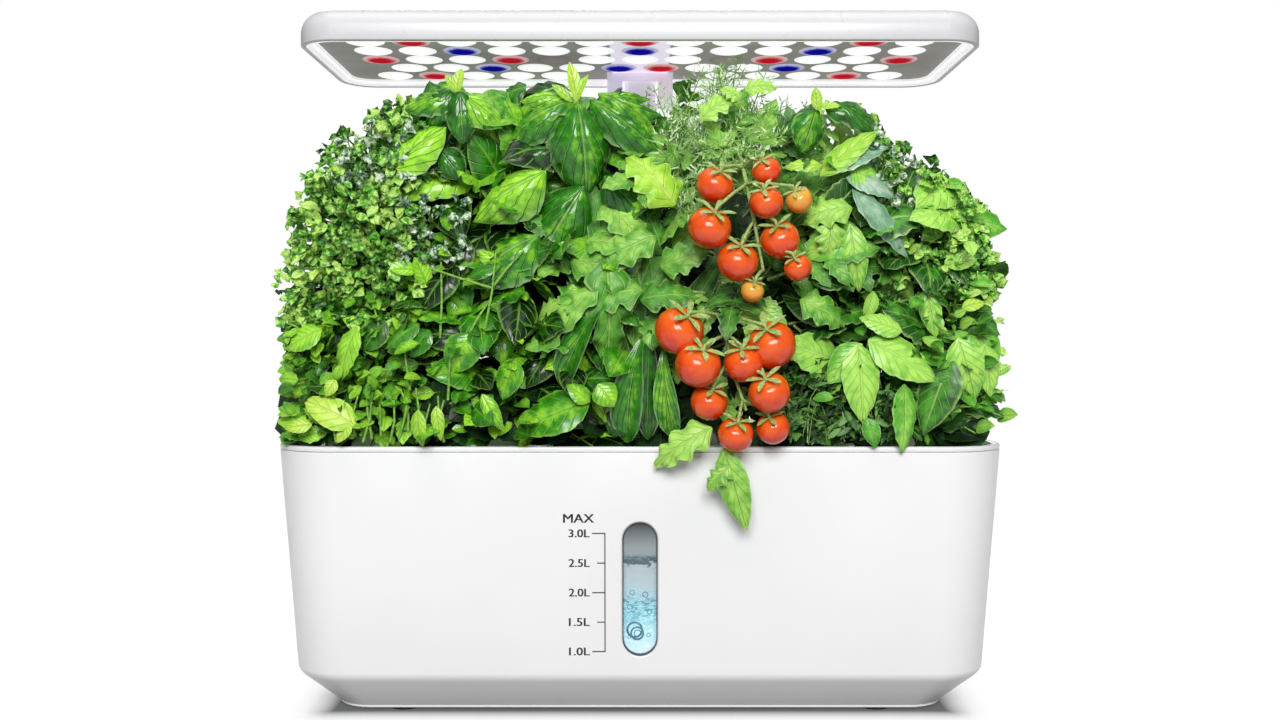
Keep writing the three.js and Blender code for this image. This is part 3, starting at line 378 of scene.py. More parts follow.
def cut_out(made, tools):
    """Cuts closed tool shapes, given as (points, faces), out of a piece and keeps the result as its mesh."""
    cutters = []
    for points, faces in tools:
        mesh = mesh_of("tool", points, faces)
        shell = bmesh.new()
        shell.from_mesh(mesh)
        bmesh.ops.recalc_face_normals(shell, faces=shell.faces)
        shell.to_mesh(mesh)
        shell.free()
        tool = add_object("tool", mesh)
        cutters.append(tool)
        step = made.modifiers.new("cut", "BOOLEAN")
        step.operation = "DIFFERENCE"
        step.solver = "EXACT"
        step.object = tool
    graph = bpy.context.evaluated_depsgraph_get()
    result = bpy.data.meshes.new_from_object(made.evaluated_get(graph))
    made.modifiers.clear()
    old = made.data
    made.data = result
    shade_smooth(result)
    result.set_sharp_from_angle(angle=SHARP)
    bpy.data.meshes.remove(old)
    for tool in cutters:
        bpy.data.objects.remove(tool)


def drum(radius, low, high, mid, sides=40):
    """An upright cylinder."""
    return turned([(0, low), (radius, low), (radius, high), (0, high)], sides, mid)


def block(width, depth, low, high, mid=(0, 0)):
    """An upright box."""
    x, y = width / 2, depth / 2
    corners = [(-x, -y), (x, -y), (x, y), (-x, y)]
    return loft([[(mid[0] + a, mid[1] + b, z) for a, b in corners] for z in (low, high)])


def middle_of(name):
    """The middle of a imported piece's box, seen from above."""
    low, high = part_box(name)
    return ((low[0] + high[0]) / 2, (low[1] + high[1]) / 2)


def bend(start, corner, end, t):
    """The point at a share t of the curve that leaves the start for the corner and arrives at the end."""
    return start * (1 - t) ** 2 + corner * 2 * t * (1 - t) + end * t ** 2

# %% [markdown]
# The tank leans outward towards its rim, and its foot is cut back by a broad bevel with a soft upper edge,
# so that it seems to float over its shadow. The wall is lofted at full smoothness, then the capsule-shaped
# window is cut with a small chamfer. The chamfer matters: it is the light line that rims the window.

# %% Tank
tank_low, tank_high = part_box("tank_shell")
DECK_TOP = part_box("grow_deck")[1][2]
TANK_WIDE = tank_high[0] - tank_low[0]
TANK_DEEP = tank_high[1] - tank_low[1]
TANK_TOP = tank_high[2]
TANK_FOOT = tank_low[2]
WALL = 2.6 * MM
DRAFT = 8 * MM
RIM_CORNER = 32 * MM
SKIRT_HIGH = 21 * MM
SKIRT_INSET = 18.7 * MM
SKIRT_LIP = 1.5 * MM
SKIRT_ROUND = 2.4 * MM
FLOOR = 3 * MM
EDGE = 0.5 * MM


def draft_at(z):
    """How far the leaning wall stands in at a height."""
    return DRAFT * (TANK_TOP - z) / (TANK_TOP - SKIRT_HIGH)


def tank_ring(inset, z, wall=0.0):
    """The tank's outline at a height, set in by a margin and a wall."""
    corner = RIM_CORNER - inset / 2 - wall
    return rounded_ring(TANK_WIDE - 2 * (inset + wall), TANK_DEEP - 2 * (inset + wall), corner, z, steps=18)


def skirt_bend(steps=8):
    """The soft edge between the bevel and the wall, as (inset, height) pairs."""
    lip_top = TANK_FOOT + SKIRT_LIP
    slope = SKIRT_INSET / (SKIRT_HIGH - lip_top)
    below = Vector((DRAFT + SKIRT_ROUND * slope, SKIRT_HIGH - SKIRT_ROUND))
    corner = Vector((DRAFT, SKIRT_HIGH))
    above = Vector((draft_at(SKIRT_HIGH + SKIRT_ROUND), SKIRT_HIGH + SKIRT_ROUND))
    return [bend(below, corner, above, step / steps) for step in range(steps + 1)]


def tank_rings():
    """Up the outside, over the rim and down the inside to the floor."""
    base = DRAFT + SKIRT_INSET
    lip_top = TANK_FOOT + SKIRT_LIP
    outside = [(base + EDGE, TANK_FOOT), (base, TANK_FOOT + EDGE), (base, lip_top - EDGE / 2)]
    outside += [tuple(pair) for pair in skirt_bend()]
    outside += [(EDGE / 6, TANK_TOP - EDGE), (EDGE / 3, TANK_TOP - EDGE / 4), (EDGE, TANK_TOP)]
    inside = [(draft_at(z), z, WALL) for z in (TANK_TOP - EDGE, SKIRT_HIGH + WALL / 2)]
    inside = [(0, TANK_TOP, WALL - EDGE / 2), *inside, (base, TANK_FOOT + FLOOR, WALL)]
    return [tank_ring(*row) for row in outside + inside]


WINDOW_WIDE = 17 * MM
WINDOW_TOP = TANK_TOP - 33.8 * MM
WINDOW_FOOT = SKIRT_HIGH + 11 * MM
CHAMFER = 0.7 * MM


def capsule_ring(grow, behind, steps=16):
    """The window's outline grown by a margin, at a depth behind the leaning front wall."""
    radius = WINDOW_WIDE / 2
    ring = []
    for end, mid in ((0, WINDOW_TOP - radius), (1, WINDOW_FOOT + radius)):
        for step in range(steps + 1):
            angle = math.pi * (end + step / steps)
            x = (radius + grow) * math.cos(angle)
            z = mid + (radius + grow) * math.sin(angle)
            ring.append((x, -TANK_DEEP / 2 + draft_at(z) + behind, z))
    return ring


tank = piece("tank_shell_smooth", *loft(tank_rings()), white_abs, "tank", "white_plastic",
             replaced=["tank_shell"])
window_tool = loft([
    capsule_ring(CHAMFER + PAST, -PAST), capsule_ring(CHAMFER, 0), capsule_ring(0, CHAMFER),
    capsule_ring(0, WALL + PAST),
])
cut_out(tank, [window_tool])
print("tank", round(TANK_WIDE / MM), "mm wide,", len(tank.data.polygons), "faces")

# %% [markdown]
# Behind the wall sit a dark gasket and the clear pane, a plug of acrylic that fills the slot. The pane
# lets light through by its alpha, so that the water behind it isn't in the dark as it would be behind
# refracting glass. Above the water line the pane is painted grey and almost opaque, darkening to near
# black at the top: painted shade for the dark inside of the tank.

# %% Window
WATER_TOP = 81.5 * MM
WATER_BEHIND = 4.4 * MM


def height_above(tree, foot, top):
    """A share that runs from 0 at one height to 1 at another."""
    place = add(tree, "TexCoord").outputs["Object"]
    height = add(tree, "SeparateXYZ", (place,)).outputs["Z"]
    return add(tree, "MapRange", (height, foot, top, 0, 1))


def clear_acrylic():
    material, tree, shader = new_material("clear_acrylic_pane", {"IOR": 1.49})
    above_water = height_above(tree, WATER_TOP, WINDOW_TOP)
    # painted shade: above the water the pane turns grey and nearly opaque, near black at the top
    towards_dark_top = height_above(tree, WATER_TOP + 3 * MM, WINDOW_TOP)
    painted_dark_inside = add(tree, "Mix", {"Factor": towards_dark_top, "A": "#b4c0c4", "B": "#2e3236"}, data_type="RGBA")
    dry = height_above(tree, WATER_TOP - 1 * MM, WATER_TOP + 1 * MM)
    tone = add(tree, "Mix", {"Factor": dry, "A": "#dfeef2", "B": painted_dark_inside}, data_type="RGBA")
    dark_top_opacity = add(tree, "MapRange", (above_water, 0, 1, 0.6, 0.85))
    opacity = add(tree, "Mix", {"Factor": dry, "A": 0.08, "B": dark_top_opacity}, data_type="FLOAT")
    feed(tree, shader, Base_Color=tone, Alpha=opacity, Roughness=uneven(tree, 8 * MM, 0.03, 0.08))
    return material


PANE_GAP = 0.6 * MM
PANE_FRONT = 0.2 * MM
PANE_SEAT = WALL + 1.8 * MM
PANE_BACK = WALL + 3.8 * MM
FLANGE = 5 * MM
SEAL_OUT, SEAL_IN = -0.1 * MM, -0.5 * MM
SEAL_FRONT, SEAL_SEAT, SEAL_BACK = 0.5 * MM, WALL + 0.3 * MM, WALL + 1.5 * MM


def capsule_loft(rows, closed=False):
    """A skin through the window's outline; a row is (margin, depth behind the wall's face)."""
    return loft([capsule_ring(*row) for row in rows], closed)


piece("window_pane_smooth", *capsule_loft([
    (-PANE_GAP - EDGE, PANE_FRONT), (-PANE_GAP, PANE_FRONT + EDGE), (-PANE_GAP, PANE_SEAT),
    (FLANGE, PANE_SEAT), (FLANGE, PANE_BACK),
]), clear_acrylic(), "tank", "clear_window", replaced=["window_pane"])
piece("window_gasket_smooth", *capsule_loft([
    (SEAL_OUT, SEAL_FRONT), (SEAL_OUT, SEAL_SEAT), (FLANGE, SEAL_SEAT), (FLANGE, SEAL_BACK),
    (SEAL_IN, SEAL_BACK), (SEAL_IN, SEAL_FRONT),
], closed=True), seal_rubber, "tank", "black_rubber", replaced=["window_gasket"])
print("window", round((WINDOW_TOP - WINDOW_FOOT) / MM, 1), "mm high")

# %% [markdown]
# The water stands at the 2.5 litre mark. It is one body that fills the tank to there, with its shades
# painted by height: a dark line where the surface meets the pane, grey-blue under it, and brighter towards
# the foot where fine bubbles scatter light. That light is painted, together with pale painted glints near
# the foot, and the water also glows weakly in its own colours. A few bubbles are real rings, built in front
# of it.

# %% Water
def tank_water():
    # painted light: the water glows weakly in its own colours
    values = {"Roughness": 0.08, "IOR": 1.33, "Emission Strength": 0.4}
    material, tree, shader = new_material("tank_water", values)
    place = add(tree, "TexCoord").outputs["Object"]
    flat = add(tree, "Mapping", {"Vector": place, "Scale": (1, 1, 2.4)})
    waves = {"Vector": flat, "Scale": 1 / (7 * MM), "Detail": 2, "Distortion": 0.8}
    ripple = add(tree, "TexNoise", waves)
    eddies = {"Vector": flat, "Scale": 1 / (3.4 * MM), "Detail": 1, "Distortion": 1.5}
    swirl = add(tree, "TexNoise", eddies)
    share = height_above(tree, WINDOW_FOOT, WATER_TOP)
    stir = add(tree, "MapRange", (ripple, 0.3, 0.7, -0.05, 0.05))
    level = add(tree, "Math", (share, stir), operation="ADD")
    tone = add(tree, "ValToRGB", (level,), stops=[
        (0, "#cfeaf0"), (0.16, "#b4e3ec"), (0.34, "#8fd3e1"), (0.5, "#7cc0d0"), (0.58, "#a3c6d2"),
        (0.72, "#aab9c0"), (0.87, "#a3b1b8"), (0.895, "#14353b"), (0.935, "#2b5058"), (0.955, "#6b8a90"),
        (1, "#1d3a40"),
    ])
    above_foot = add(tree, "MapRange", (share, 0.25, 0.45, 0, 1))
    below_top = add(tree, "MapRange", (share, 0.5, 0.64, 1, 0))
    middle = add(tree, "Math", (above_foot, below_top), operation="MULTIPLY")
    dark_swirl = add(tree, "MapRange", (swirl, 0.52, 0.6, 0, 0.75))
    dark = add(tree, "Math", (dark_swirl, middle), operation="MULTIPLY")
    tone = add(tree, "Mix", {"Factor": dark, "A": tone, "B": "#17586c"}, data_type="RGBA")
    pale_swirl = add(tree, "MapRange", (swirl, 0.36, 0.44, 0.7, 0))
    near_foot = add(tree, "MapRange", (share, 0.2, 0.6, 1, 0))
    glint = add(tree, "Math", (pale_swirl, near_foot), operation="MULTIPLY")
    tone = add(tree, "Mix", {"Factor": glint, "A": tone, "B": "#effcfd"}, data_type="RGBA")
    dents = add(tree, "Bump", {"Height": ripple, "Distance": 0.8 * MM, "Strength": 0.4})
    feed(tree, shader, Base_Color=tone, Emission_Color=tone, Normal=dents)
    return material


water_rows = [(DRAFT + SKIRT_INSET, TANK_FOOT + FLOOR + 0.2 * MM)]
water_rows += [(draft_at(z), z) for z in (SKIRT_HIGH, WATER_TOP)]
water_rings = [tank_ring(inset, z, WALL + WATER_BEHIND) for inset, z in water_rows]
piece("tank_water", *loft(water_rings), tank_water(), "tank", "clear_window")


def bubble_look():
    material, tree, shader = new_material("air_bubble_in_water", {"Roughness": 0.1, "IOR": 1.33})
    feed(tree, shader, Base_Color=two_tone(tree, 2 * MM, "#175a70", "#3f93ab"))
    return material


BUBBLES = [(-2.6, 43.6, 3.6), (-1.4, 41.8, 3.0), (-1.2, 41.8, 1.6), (4.6, 52.5, 1.1), (-5, 55, 1.2),
           (4.2, 41, 0.9), (2.6, 61, 1.3), (-3.8, 62, 1.1), (-5.2, 40, 0.8)]


def bubble(across, high, radius, around=18, tube=6):
    """The dark ring that a bubble against the pane shows: a torus; all lengths are in millimetres."""
    mid_y = -TANK_DEEP / 2 + draft_at(high * MM) + PANE_BACK + 0.35 * MM
    thick = radius / 7
    points = []
    for turn in turns(around):
        for lean in turns(tube):
            reach = radius + thick * math.cos(lean)
            x, z = across + reach * math.cos(turn), high + reach * math.sin(turn)
            points.append((x * MM, mid_y + thick * math.sin(lean) * MM, z * MM))
    return points, skin(around, tube, closed=True)


piece("window_bubbles", *joined(bubble(*row) for row in BUBBLES), bubble_look(), "tank", "clear_window")
print("water stands", round(WATER_TOP / MM, 1), "mm over the table")

# %% [markdown]
# Beside the window a plain scale is pad printed: one upright line, a long tick for each litre, a short one
# for each half, and the numbers. Each mark is a thin mesh that follows the leaning wall, well under a
# tenth of a millimetre proud. Words are struck twice, a little apart, which makes their strokes as bold as
# printed ones.

# %% Printed scale
INK = 0.06 * MM
STRIKES = (0, 0.3 * MM)
LITRE_HIGH = 28.9 * MM
THREE_LITRES_Z = 92.2 * MM
SCALE_X = -16.9 * MM
HALF_TICK, FULL_TICK, STROKE = 3.8 * MM, 6.2 * MM, 0.55 * MM
NUMBER_X, NUMBER_DOWN, NUMBER_SIZE = -34.4 * MM, 1.9 * MM, (3.9 * MM, 9.9 * MM)
TOP_WORD_X, TOP_WORD_UP, TOP_WORD_SIZE = -37 * MM, 5.2 * MM, (4.2 * MM, 14.7 * MM)


def on_front_wall(x, z, proud):
    return (x, -TANK_DEEP / 2 + draft_at(z) - proud, z)


def bar(x_low, x_high, z_low, z_high):
    corners = [(x_low, z_low), (x_high, z_low), (x_high, z_high), (x_low, z_high)]
    return loft([[on_front_wall(x, z, proud) for x, z in corners] for proud in (-INK, INK)])


def lettering(words, x, z, high, wide):
    """Letters of Blender's own font, flat on the wall, fitted to a height and a width."""
    curve = bpy.data.curves.new("words", "FONT")
    curve.body = words
    curve.resolution_u = 3
    curve.extrude = 0.5
    shape = add_object("words", curve)
    graph = bpy.context.evaluated_depsgraph_get()
    mesh = bpy.data.meshes.new_from_object(shape.evaluated_get(graph))
    places = np.array([v.co[:] for v in mesh.vertices])
    low, size = places.min(axis=0), places.max(axis=0) - places.min(axis=0)
    points = []
    for across, up, out in places:
        right = x + (across - low[0]) / size[0] * wide
        points.append(on_front_wall(right, z + (up - low[1]) / size[1] * high, INK * out * 2))
    faces = [tuple(face.vertices) for face in mesh.polygons]
    bpy.data.objects.remove(shape)
    bpy.data.curves.remove(curve)
    bpy.data.meshes.remove(mesh)
    return points, faces


def struck(words, x, z, size):
    return [lettering(words, x + shift, z, *size) for shift in STRIKES]


def print_scale():
    half_stroke = STROKE / 2
    foot = THREE_LITRES_Z - 2 * LITRE_HIGH
    top = THREE_LITRES_Z + half_stroke
    marks = [bar(SCALE_X - half_stroke, SCALE_X + half_stroke, foot - half_stroke, top)]
    for half in range(5):
        z = THREE_LITRES_Z - half * LITRE_HIGH / 2
        reach = HALF_TICK if half % 2 else FULL_TICK
        marks.append(bar(SCALE_X - reach, SCALE_X - half_stroke, z - half_stroke, z + half_stroke))
        marks += struck(f"{3 - half / 2:.1f}L", NUMBER_X, z - NUMBER_DOWN, NUMBER_SIZE)
    return joined(marks + struck("MAX", TOP_WORD_X, THREE_LITRES_Z + TOP_WORD_UP, TOP_WORD_SIZE))


scale_marks = piece("water_scale_print", *print_scale(), scale_ink, "tank", "black_plastic", smooth=False)
print("scale:", len(scale_marks.data.polygons), "faces")

# %% [markdown]
# The deck is a tray whose lip lies on the tank's rim. Its floor is sunk eight millimetres, with a hole for
# each basket, the refill port and the hole for the wires. The lip is rolled over, so its soft round edge
# is lofted.

# %% Deck
LIP_HIGH = 2.4 * MM
LIP_WIDE = 4.4 * MM
DECK_SINK = 8 * MM
DECK_PLATE = 2.4 * MM
LIP_ROUND = 1.1 * MM
LIP_LEAN, FLOOR_IN = 1.1 * MM, 1.6 * MM
DECK_FLOOR = DECK_TOP - DECK_SINK
DECK_UNDER = DECK_FLOOR - DECK_PLATE
DECK_INSIDE = WALL + 0.5 * MM


def deck_rings():
    """From the plate's underside up beside the wall, over the rolled lip and down to the deck's floor."""
    lip_under = DECK_TOP - LIP_HIGH
    rows = [(draft_at(DECK_UNDER), DECK_UNDER, DECK_INSIDE), (draft_at(TANK_TOP), lip_under, DECK_INSIDE)]
    rows.append((EDGE / 2, lip_under))
    for angle in quarter(6):
        inset = LIP_ROUND * (1 - math.cos(angle))
        rows.append((0, DECK_TOP - LIP_ROUND + LIP_ROUND * math.sin(angle), inset))
    for angle in quarter(4):
        inset = LIP_WIDE - LIP_ROUND + LIP_ROUND * math.sin(angle)
        rows.append((0, DECK_TOP - LIP_ROUND * (1 - math.cos(angle)), inset))
    rows += [(0, DECK_FLOOR + EDGE, LIP_WIDE + LIP_LEAN), (0, DECK_FLOOR, LIP_WIDE + FLOOR_IN)]
    return [tank_ring(*row) for row in rows]


BASKETS = [middle_of(f"grow_basket_{number}") for number in range(1, 11)]
basket_low, basket_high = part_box("grow_basket_1")
BASKET_FLANGE = (basket_high[0] - basket_low[0]) / 2
BASKET_MOUTH = BASKET_FLANGE - 2.3 * MM
EAR_RADIUS = 2.3 * MM
PORT_WIDE, PORT_LONG, PORT_CORNER = 13 * MM, 30 * MM, 3 * MM
PORT_MARGIN = 2.2 * MM
WIRE_HOLE = 3 * MM
port_mid = (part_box("refill_flap")[0][0] + EAR_RADIUS + PORT_MARGIN + PORT_WIDE / 2, 0)
through = (DECK_UNDER - PAST, DECK_FLOOR + PAST)
deck = piece("grow_deck_smooth", *loft(deck_rings()), white_abs, "deck", "white_plastic",
             replaced=["grow_deck"])
cut_out(deck, [
    *(drum(BASKET_MOUTH + PART_GAP, *through, middle, 32) for middle in BASKETS),
    loft([rounded_ring(PORT_WIDE, PORT_LONG, PORT_CORNER, z, port_mid, 6) for z in through]),
    drum(WIRE_HOLE, *through, middle_of("lower_post"), 24),
])
print("deck floor at", round(DECK_FLOOR / MM, 1), "mm,", len(deck.data.polygons), "faces")

# %% [markdown]
# Under the plate, cross ribs between the columns of baskets keep the wide tray from sagging, and a socket
# takes the pump's pipe. On top, two ears hold the pin of the refill flap. They are moulded in one with the
# deck, but built beside it here, because a boolean union of all of them would cost the deck its clean
# faces.

# %% Ribs, socket and ears of the deck
RIB_HIGH, RIB_WIDE = 5 * MM, 1.8 * MM
SOCKET_WALL = 1.8 * MM
EAR_THICK, EAR_PLAY, EAR_ROOT = 2.4 * MM, 0.1 * MM, 1 * MM
pin_low, pin_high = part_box("flap_hinge_pin")
riser_low, riser_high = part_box("pump_riser")
PUMP_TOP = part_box("pump_housing")[1][2]
COLUMN_PITCH = BASKETS[1][0] - BASKETS[0][0]


def deck_ribs():
    depth = TANK_DEEP - 2 * (DECK_INSIDE + draft_at(DECK_UNDER - RIB_HIGH) + WALL)
    places = [((step - 1.5) * COLUMN_PITCH, 0) for step in range(4)]
    return [block(RIB_WIDE, depth, DECK_UNDER - RIB_HIGH, DECK_UNDER, place) for place in places]


def riser_socket():
    """A short tube under the deck, as deep as the pipe's seat in the pump."""
    bore = (riser_high[0] - riser_low[0]) / 2 + PART_GAP
    outside = bore + SOCKET_WALL
    seat = riser_low[2] - PART_GAP - (PUMP_TOP - 2 * (PUMP_TOP - riser_low[2]))
    foot = DECK_UNDER - seat
    profile = [(bore, DECK_UNDER), (bore, foot), (outside, foot), (outside, DECK_UNDER), (bore, DECK_UNDER)]
    return turned(profile, 40, middle_of("pump_riser"))


def flap_ears():
    """An ear's outline is straight below the pin and round above it."""
    pin_z, pin_x = (pin_low[2] + pin_high[2]) / 2, (pin_low[0] + pin_high[0]) / 2
    angles = np.linspace(0, math.pi, 13)
    arch = [(pin_x + EAR_RADIUS * math.cos(a), pin_z + EAR_RADIUS * math.sin(a)) for a in angles]
    outline = [(pin_x + x, DECK_FLOOR - EAR_ROOT) for x in (-EAR_RADIUS, EAR_RADIUS)] + arch
    ears = []
    for side in (-1, 1):
        outer = side * (pin_high[1] - EAR_PLAY)
        inner = outer - side * (EAR_THICK - EAR_PLAY)
        ears.append(loft([[(x, y, z) for x, z in outline] for y in sorted((inner, outer))]))
    return ears


fittings = joined([*deck_ribs(), riser_socket(), *flap_ears()])
fittings = piece("grow_deck_fittings", *fittings, white_abs, "deck", "white_plastic")
print("deck fittings:", len(fittings.data.polygons), "faces")

# %% [markdown]
# Each basket is a thin tapered cup with slots down its side, moulded in white polypropylene. One basket is
# turned once as a closed profile, slotted, and then copied to the ten places, since the real ones are
# alike too.

# %% Baskets and sponges
def copy_at(points, mid):
    """The same points round another middle."""
    return [(x + mid[0], y + mid[1], z) for x, y, z in points]


BASKET_FOOT_Z = basket_low[2]
BASKET_TOP_Z = basket_high[2]
BASKET_FOOT = 10.5 * MM
BASKET_WALL = 1.4 * MM
MOUTH_Z = BASKET_TOP_Z - 1.6 * MM
SLOT_WIDE, SLOT_TOOL = 2.2 * MM, 80 * MM
SLOT_FOOT, SLOT_TOP = BASKET_FOOT_Z + 8 * MM, MOUTH_Z - 12 * MM
DRAIN_LOW, DRAIN_HIGH = BASKET_FOOT_Z - 1 * MM, BASKET_FOOT_Z + 3 * MM
SPONGE_ROOM, SPONGE_ROUND = 0.4 * MM, 1.2 * MM


def basket_shape():
    """One basket round the origin: a slot tool runs right through it, so four tools cut eight slots."""
    inner_mouth = BASKET_MOUTH - BASKET_WALL
    profile = [
        (0, BASKET_FOOT_Z), (BASKET_FOOT - EDGE, BASKET_FOOT_Z), (BASKET_FOOT, BASKET_FOOT_Z + EDGE),
        (BASKET_MOUTH, MOUTH_Z), (BASKET_FLANGE - EDGE / 2, MOUTH_Z), (BASKET_FLANGE, MOUTH_Z + EDGE),
        (BASKET_FLANGE, BASKET_TOP_Z - EDGE), (BASKET_FLANGE - EDGE, BASKET_TOP_Z),
        (inner_mouth + EDGE, BASKET_TOP_Z), (inner_mouth, BASKET_TOP_Z - EDGE),
        (BASKET_FOOT - BASKET_WALL, BASKET_FOOT_Z + BASKET_WALL), (0, BASKET_FOOT_Z + BASKET_WALL),
    ]
    made = piece("grow_basket_draft", *turned(profile, 40), basket_pp, "deck", "basket_plastic")
    slots = []
    for turn in range(4):
        angle = (turn + 0.25) * math.pi / 4
        rotate = Matrix.Rotation(angle, 3, "Z")
        points, faces = block(SLOT_TOOL, SLOT_WIDE, SLOT_FOOT, SLOT_TOP)
        slots.append(([tuple(rotate @ Vector(p)) for p in points], faces))
    slots.append(drum(SLOT_WIDE, DRAIN_LOW, DRAIN_HIGH, (0, 0), 16))
    cut_out(made, slots)
    shape = ([tuple(v.co) for v in made.data.vertices], [tuple(f.vertices) for f in made.data.polygons])
    mesh = made.data
    bpy.data.objects.remove(made)
    bpy.data.meshes.remove(mesh)
    return shape


def sponge_shape():
    low, high = (box[2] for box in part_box("grow_sponge_1"))
    mouth = BASKET_MOUTH - BASKET_WALL - SPONGE_ROOM
    foot = BASKET_FOOT - BASKET_WALL - SPONGE_ROOM
    side = [(foot - SPONGE_ROUND, low), (foot, low + SPONGE_ROUND), (mouth - 0.2 * MM, high - SPONGE_ROUND)]
    crown = [(mouth - SPONGE_ROUND, high), (mouth * 0.5, high + 0.2 * MM)]
    return turned([(0, low), *side, *crown, (0, high)], 28)


basket_points, basket_faces = basket_shape()
sponge_points, sponge_faces = sponge_shape()
for number, middle in enumerate(BASKETS, 1):
    piece(f"grow_basket_{number}_smooth", copy_at(basket_points, middle), basket_faces, basket_pp, "deck",
          "basket_plastic", replaced=[f"grow_basket_{number}"])
    piece(f"grow_sponge_{number}_foam", copy_at(sponge_points, middle), sponge_faces, sponge_foam, "deck",
          "sponge", replaced=[f"grow_sponge_{number}"])
print("ten baskets of", len(basket_faces), "faces")

# %% [markdown]
# The lamp's shell is a long shallow cap with a broad soft crown. The crown is a quarter of an ellipse, so
# the light runs along its front edge as one band. It is lofted from the ceiling inside, down over the rim
# and up the outside, and the two button holes are cut through its top.

# %% Lamp shell
lamp_low, lamp_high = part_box("lamp_housing")
LAMP_WIDE = lamp_high[0] - lamp_low[0]
LAMP_DEEP = lamp_high[1] - lamp_low[1]
LAMP_FOOT = lamp_low[2]
LAMP_TOP = lamp_high[2]
LAMP_CORNER = 19 * MM
LAMP_WALL = 2.4 * MM
CROWN_DOWN = 11 * MM
CROWN_IN = 13 * MM
LAMP_EDGE = 0.8 * MM
BUTTON_RADIUS = 5.5 * MM
BUTTON_HOLE = 6 * MM


def lamp_ring(inset, z):
    """The lamp's outline at a height, set in by a margin."""
    corner = max(LAMP_CORNER - inset, 2 * MM)
    return rounded_ring(LAMP_WIDE - 2 * inset, LAMP_DEEP - 2 * inset, corner, z, steps=16)


def crown(inset, top):
    """Rings up a quarter of an ellipse, from the side to the top."""
    rings = []
    for angle in quarter(12):
        z = top - CROWN_DOWN + CROWN_DOWN * math.sin(angle)
        rings.append(lamp_ring(inset + CROWN_IN * (1 - math.cos(angle)), z))
    return rings


def lamp_shell_rings():
    rings = crown(LAMP_WALL, LAMP_TOP - LAMP_WALL)[::-1]
    rings.append(lamp_ring(LAMP_WALL, LAMP_FOOT))
    for angle in quarter(3):
        z = LAMP_FOOT + LAMP_EDGE * (1 - math.cos(angle))
        rings.append(lamp_ring(LAMP_EDGE * (1 - math.sin(angle)), z))
    return rings + crown(0, LAMP_TOP)


lamp_shell = piece("lamp_housing_smooth", *loft(lamp_shell_rings()), lamp_abs_painted_grey, "lamp", "white_plastic",
                   replaced=["lamp_housing"])
cut_out(lamp_shell, [
    drum(BUTTON_RADIUS + PART_GAP, LAMP_TOP - BUTTON_HOLE, LAMP_TOP + PAST, middle_of(name), 48)
    for name in ("light_button", "timer_button")
])
print("lamp", round(LAMP_WIDE / MM), "x", round(LAMP_DEEP / MM), "mm")

# %% [markdown]
# Under the shell sits a stepped white frame. Its lower step is a narrow foot, its upper step reaches
# further in, and the two together read as two bright lines round the grey board. At the back a wide gap in
# the frame leaves room for the bracket. Frame, bracket and upper post stand in the light of the lenses, so
# a weak glow is theirs too.

# %% Lamp frame
bezel_low, bezel_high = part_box("lamp_bezel")
BEZEL_INSET = bezel_low[0] - lamp_low[0]
BEZEL_FOOT = 2.8 * MM
BEZEL_HEAD = 4.6 * MM
bracket_low, bracket_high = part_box("lamp_bracket")
RECESS_WIDE = 62 * MM


def bezel_rings():
    """The frame's stepped section, carried round the lamp."""
    low, high = bezel_low[2], bezel_high[2]
    step = low + (high - low) * 0.45
    edge = 0.35 * MM
    profile = [
        (0, low + edge), (0, high), (BEZEL_HEAD, high), (BEZEL_HEAD, high - edge),
        (BEZEL_HEAD - edge, step + 0.7 * MM), ((BEZEL_FOOT + BEZEL_HEAD) / 2, step), (BEZEL_FOOT, step),
        (BEZEL_FOOT, low + edge), (BEZEL_FOOT - edge, low), (edge, low),
    ]
    return [lamp_ring(BEZEL_INSET + across, z) for across, z in profile]


def lit_by_lenses(name, colour, strength, glow="#fbf8ff"):
    """White ABS that catches the light of the lenses beside it, which a weak glow of its own stands for."""
    return moulded_plastic(name, colour, colour, 0.3, 0.4, Emission_Color=linear(glow),
                           Emission_Strength=strength, Specular_IOR_Level=0.15)


bezel_lit = lit_by_lenses("white_abs_lit_frame", "#f5f4f6", 0.6)
bracket_lit = lit_by_lenses("white_abs_lit_bracket", "#efe9f4", 0.4, "#ebdff8")
post_lit = lit_by_lenses("powder_coated_post_lit", "#f1eff2", 0.28, "#f2eafa")
bezel = piece("lamp_bezel_smooth", *loft(bezel_rings(), closed=True), bezel_lit, "lamp", "white_plastic",
              replaced=["lamp_bezel"])
near = bracket_low[1] - PART_GAP
far = lamp_high[1] - BEZEL_INSET - BEZEL_FOOT / 2
recess_mid = (0, (near + far) / 2)
cut_out(bezel, [block(RECESS_WIDE, far - near, bezel_low[2] - PAST, bezel_high[2] + PAST, recess_mid)])
print("frame", round((bezel_high[2] - bezel_low[2]) / MM, 1), "mm deep")

# %% [markdown]
# A grey sheet holds 61 moulded lenses, one over each LED. The lamp is lit in the photo: most LEDs are
# white, some are red and some blue, and the coloured ones show a strong core in a pale halo, because the
# lens spreads their light. Each dome carries its own radius as an attribute, and the material turns that
# into core and halo, so the look belongs to the lens and doesn't change with the view. A weak emission
# near 1 keeps the lenses at their written colours without flooding the plants with light.

